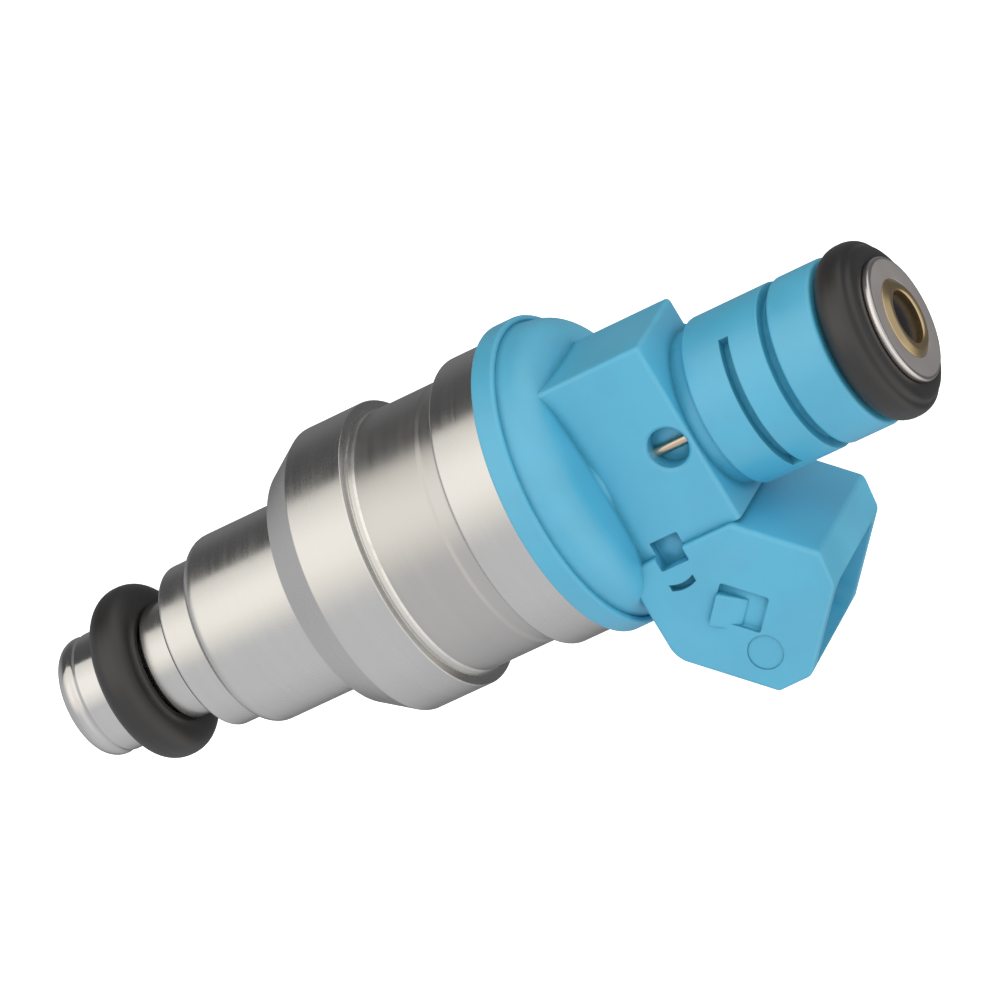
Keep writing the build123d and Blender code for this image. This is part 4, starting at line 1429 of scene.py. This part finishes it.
    def catch(self, sign: int, wall: float) -> bpy.types.Object:
        """Ramped catch that stands in the pocket and slopes down towards the mouth.

        Args:
            sign: -1 for the near side and 1 for the far side.
            wall: The wall's place across the socket.

        Returns:
            The catch, with a root that reaches into the wall.
        """
        sizes = self.details
        body = sizes.pocket_sink + sizes.catch_root + sizes.catch_proud
        middle = self.on_socket(
            sizes.catch_depth, sizes.catch_rise, wall + sign * (sizes.catch_proud - body / 2))
        catch = self.socket_box("catch", middle, (sizes.catch_height, body, sizes.catch_length))
        for vertex in catch.data.vertices:
            offset = vertex.co - self.on_socket(sizes.catch_depth, sizes.catch_rise)
            if offset.dot(self.outward) > 0 and sign * vertex.co.y > self.width / 2:
                vertex.co.y -= sign * (sizes.catch_proud + sizes.catch_slope * sizes.pocket_sink)
        bevel_all(catch, sizes.rounding, 4)
        return catch

    def notch_cutter(self, sign: int, wall: float) -> bpy.types.Object:
        """Cutter for the square notch beside the block.

        Args:
            sign: -1 for the near side and 1 for the far side.
            wall: The wall's place across the socket.

        Returns:
            The cutter.
        """
        sizes = self.details
        low = Vector((sizes.notch_from, 0, self.block + sizes.notch_low))
        high = Vector((sizes.notch_to, 0, self.block + sizes.notch_high))
        low.y, high.y = sorted((wall - sign * sizes.notch_sink, wall + sign * sizes.notch_beyond))
        cutter = box_piece("notch_cutter", low, high)
        bevel_all(cutter, sizes.notch_round, 2)
        return cutter

    def slit_cutter(self, wall: float) -> bpy.types.Object:
        """Cutter for the short curved slit next to the notch.

        Args:
            wall: The wall's place across the socket.

        Returns:
            The cutter.
        """
        sizes = self.details
        middle = self.block + sizes.slit_middle
        cutter = box_piece("slit_cutter",
                           Vector((sizes.slit_from, wall - sizes.slit_sink, middle - sizes.slit_half)),
                           Vector((sizes.slit_to, wall + sizes.slit_sink, middle + sizes.slit_half)))
        start_edit(cutter, picked="SELECT")
        bpy.ops.mesh.subdivide(number_cuts=sizes.slit_cuts)
        bpy.ops.object.mode_set(mode="OBJECT")
        for vertex in cutter.data.vertices:
            along = (vertex.co.z - middle) / sizes.slit_half
            vertex.co.x += sizes.slit_bow * (1 - along * along) - sizes.slit_shift
        return cutter

    def mark_cutter(self, wall: float) -> bpy.types.Object:
        """Cutter for the faint round mark near the socket's lower corner.

        Args:
            wall: The wall's place across the socket.

        Returns:
            The cutter.
        """
        sizes = self.details
        deselect()
        bpy.ops.mesh.primitive_cylinder_add(
            vertices=HOLE_STEPS, radius=sizes.mark_radius, depth=2 * sizes.mark_sink,
            location=self.on_socket(sizes.mark_depth, sizes.mark_rise, wall), rotation=(math.pi / 2, 0, 0))
        return settle(bpy.context.object, "mark_cutter")

    def side_details(self, piece: bpy.types.Object, sign: int) -> None:
        """Pocket and ramped catch, notch, slit and round mark of one side wall.

        Args:
            piece: The moulding that gets the details.
            sign: -1 for the near side and 1 for the far side.
        """
        wall = sign * self.width / 2
        combine(piece, self.pocket_cutter(wall), Place.CUT)
        combine(piece, self.catch(sign, wall), Place.JOINED)
        combine(piece, self.notch_cutter(sign, wall), Place.CUT)
        combine(piece, self.slit_cutter(wall), Place.CUT)
        combine(piece, self.mark_cutter(wall), Place.CUT)

    def window_cutter(self) -> bpy.types.Object:
        """Round cutter for the window in the block's near face, wider at its mouth.

        Returns:
            The cutter.
        """
        centre = Vector((self.window.x, -self.block_near, self.block_end + self.window.z))
        deselect()
        bpy.ops.mesh.primitive_cylinder_add(
            vertices=HOLE_STEPS, radius=self.window_radius, depth=2 * self.window_depth, location=centre,
            rotation=(math.pi / 2, 0, 0))
        cutter = settle(bpy.context.object, "window_cutter")
        start_edit(cutter, picked="SELECT")
        bpy.ops.mesh.bisect(plane_co=centre + Vector((0, self.window_rim, 0)), plane_no=(0, 1, 0))
        bpy.ops.object.mode_set(mode="OBJECT")
        for vertex in cutter.data.vertices:
            if vertex.co.y < centre.y:
                vertex.co.x += (vertex.co.x - centre.x) * self.window_flare
                vertex.co.z += (vertex.co.z - centre.z) * self.window_flare
        return cutter

    def build(self) -> None:
        """Make the moulding from its solids and cuts."""
        piece = self.core()
        combine(piece, self.block_solid(), Place.JOINED)
        combine(piece, self.shroud(), Place.JOINED)
        for middle in (-math.pi / 2, math.pi / 2):
            combine(piece, self.slot_cutter(middle), Place.CUT)
        for sign in (-1, 1):
            self.side_details(piece, sign)
        combine(piece, self.window_cutter(), Place.CUT)
        hand_over(piece, BLUE, "overmould_body", self.smooth_angle)


# ------------------------------------------------------------------------------------ studio


@dataclass(frozen=True)
class Glow:
    """Brightness of the surround at one azimuth, in degrees round from +X."""

    azimuth: float
    value: float


@dataclass
class Studio:
    """Camera, pale floor and the soft light round the object."""

    azimuth: float = math.radians(255.4)
    elevation: float = math.radians(24.52)
    roll: float = math.radians(64.8)
    distance: float = 0.7806
    lens: float = 360.0
    sensor: float = 36.0
    clip_start: float = 0.01
    clip_end: float = 50.0
    aim: Vector = field(default_factory=lambda: Vector((-0.57 * MM, 0.15 * MM, 40.1 * MM)))
    floor_drop: float = 60 * MM
    floor_size: float = 6.0
    floor_color: Color = (0.9, 0.9, 0.9)
    floor_roughness: float = 0.9
    floor_glow: float = 0.62
    low_glows: tuple[Glow, ...] = (
        Glow(-180, 0.95), Glow(-165, 1.12), Glow(-145, 1.35), Glow(-122, 1.33), Glow(-105, 1.08),
        Glow(-88, 0.74), Glow(-25, 0.72), Glow(14, 0.58), Glow(34, 0.42), Glow(52, 0.2), Glow(114, 0.2),
        Glow(140, 0.11), Glow(179, 0.09),
    )
    high_glows: tuple[Glow, ...] = (
        Glow(-180, 1.1), Glow(-60, 1.1), Glow(10, 1.0), Glow(40, 0.14), Glow(135, 0.12), Glow(155, 0.9),
        Glow(180, 1.1),
    )
    even_glows: tuple[Glow, ...] = (
        Glow(-180, 1.25), Glow(-101, 1.25), Glow(-85, 0.72), Glow(70, 0.72), Glow(86, 0.1), Glow(179, 0.1),
    )
    high_band: tuple[float, float] = (0.0, 0.3)
    zenith_band: tuple[float, float] = (0.72, 0.9)
    ground_band: tuple[float, float] = (0.58, 1.0)
    sky: float = 1.12
    overhead: float = 0.6
    ground: float = 0.58
    warmth: float = 0.07
    coolness: float = 0.06
    green_share: float = 0.3
    warm_from: float = 0.9

    def camera(self) -> None:
        """Long lens that looks along the given direction."""
        toward = Vector((math.cos(self.elevation) * math.cos(self.azimuth),
                         math.cos(self.elevation) * math.sin(self.azimuth), math.sin(self.elevation)))
        data = bpy.data.cameras.new("studio_camera")
        data.lens = self.lens
        data.sensor_width = self.sensor
        data.clip_start = self.clip_start
        data.clip_end = self.clip_end
        camera = bpy.data.objects.new("studio_camera", data)
        bpy.context.scene.collection.objects.link(camera)
        camera.location = self.aim + toward * self.distance
        level = (-toward).to_track_quat("-Z", "Y")
        camera.rotation_mode = "QUATERNION"
        camera.rotation_quaternion = level @ Quaternion((0, 0, 1), self.roll)
        bpy.context.scene.camera = camera

    def floor(self) -> None:
        """Pale floor well below the object, which only the eye sees."""
        deselect()
        bpy.ops.mesh.primitive_plane_add(size=self.floor_size, location=(0, 0, -self.floor_drop))
        floor = settle(bpy.context.object, "studio_floor")
        material = bpy.data.materials.new("pale_floor")
        material.use_nodes = True
        feed(material.node_tree, material.node_tree.nodes["Principled BSDF"],
             Base_Color=(*self.floor_color, 1.0), Roughness=self.floor_roughness,
             Emission_Color=(1.0, 1.0, 1.0, 1.0), Emission_Strength=self.floor_glow)
        floor.data.materials.append(material)
        floor.visible_glossy = False
        floor.visible_diffuse = False

    def tinted(self, value: float) -> Color:
        """Colour of one brightness: bright parts are a little warm, the others a little cool."""
        warm = self.warmth if value > self.warm_from else -self.coolness
        return value, value * (1 - self.green_share * warm), value * (1 - warm)

    def bands(self, tree: bpy.types.NodeTree, share: bpy.types.NodeSocket,
              glows: Sequence[Glow]) -> bpy.types.NodeSocket:
        """Colour of the surround by its share of the way round.

        Args:
            tree: The surround's nodes.
            share: Share of the way round, from 0 to 1.
            glows: The brightness at each azimuth, in order.

        Returns:
            The colour's socket.
        """
        node = feed(tree, add_node(tree, "ShaderNodeValToRGB"), Fac=share)
        for index, glow in enumerate(glows):
            element = node.color_ramp.elements[index] if index < 2 else node.color_ramp.elements.new(1.0)
            element.position = (glow.azimuth + 180) / 360
            element.color = (*self.tinted(glow.value), 1.0)
        return node.outputs["Color"]

    def surround(self) -> None:
        """Soft surround: reflections see dark and bright sides, and diffuse light is more even."""
        world = bpy.data.worlds.new("studio_surround")
        bpy.context.scene.world = world
        world.use_nodes = True
        tree = world.node_tree
        place = add_node(tree, "ShaderNodeTexCoord").outputs["Generated"]
        parts = feed(tree, add_node(tree, "ShaderNodeSeparateXYZ"), Vector=place).outputs
        angle = math_node(tree, "ARCTAN2", parts["Y"], parts["X"])
        share = math_node(tree, "MULTIPLY_ADD", angle, 1 / math.tau, 0.5)
        above = ramp(tree, parts["Z"], *self.high_band)
        zenith = ramp(tree, parts["Z"], *self.zenith_band)
        below = ramp(tree, times(tree, parts["Z"], -1.0), *self.ground_band)
        low, high, level = (self.bands(tree, share, glows)
                            for glows in (self.low_glows, self.high_glows, self.even_glows))
        mirrored = mix_colors(tree, above, low, high)
        mirrored = mix_colors(tree, zenith, mirrored, self.tinted(self.overhead))
        mirrored = mix_colors(tree, below, mirrored, self.tinted(self.ground))
        even = mix_colors(tree, above, level, self.tinted(self.sky))
        even = mix_colors(tree, below, even, self.tinted(self.ground))
        diffuse = add_node(tree, "ShaderNodeLightPath").outputs["Is Diffuse Ray"]
        tree.links.new(mix_colors(tree, diffuse, mirrored, even), tree.nodes["Background"].inputs["Color"])

    def build(self) -> None:
        """Set up the studio."""
        self.camera()
        self.floor()
        self.surround()
        bpy.context.scene.view_settings.view_transform = "Standard"


# ------------------------------------------------------------------------------------ assembly


def dress_kept_nodes() -> None:
    """Give each CAD node that stays its own finish."""
    for name, finish in KEPT_NODES.items():
        clothe(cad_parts[name], finish)
        log.info("%s: kept, finish %s", name, finish.name)


def main() -> None:
    """Build the studio, the shared effects and every piece."""
    logging.basicConfig(level=logging.INFO, format="%(name)s: %(message)s")
    for make in (make_turning_marks, make_moulded_grain, make_edge_wear_and_highlight, make_painted_cavity_shade, make_dust):
        make()
    Studio().build()
    for assembly in (NozzleEnd(), SteelBody(), InletEnd(), Overmould()):
        assembly.build()
    dress_kept_nodes()


if __name__ == "__main__":
    main()
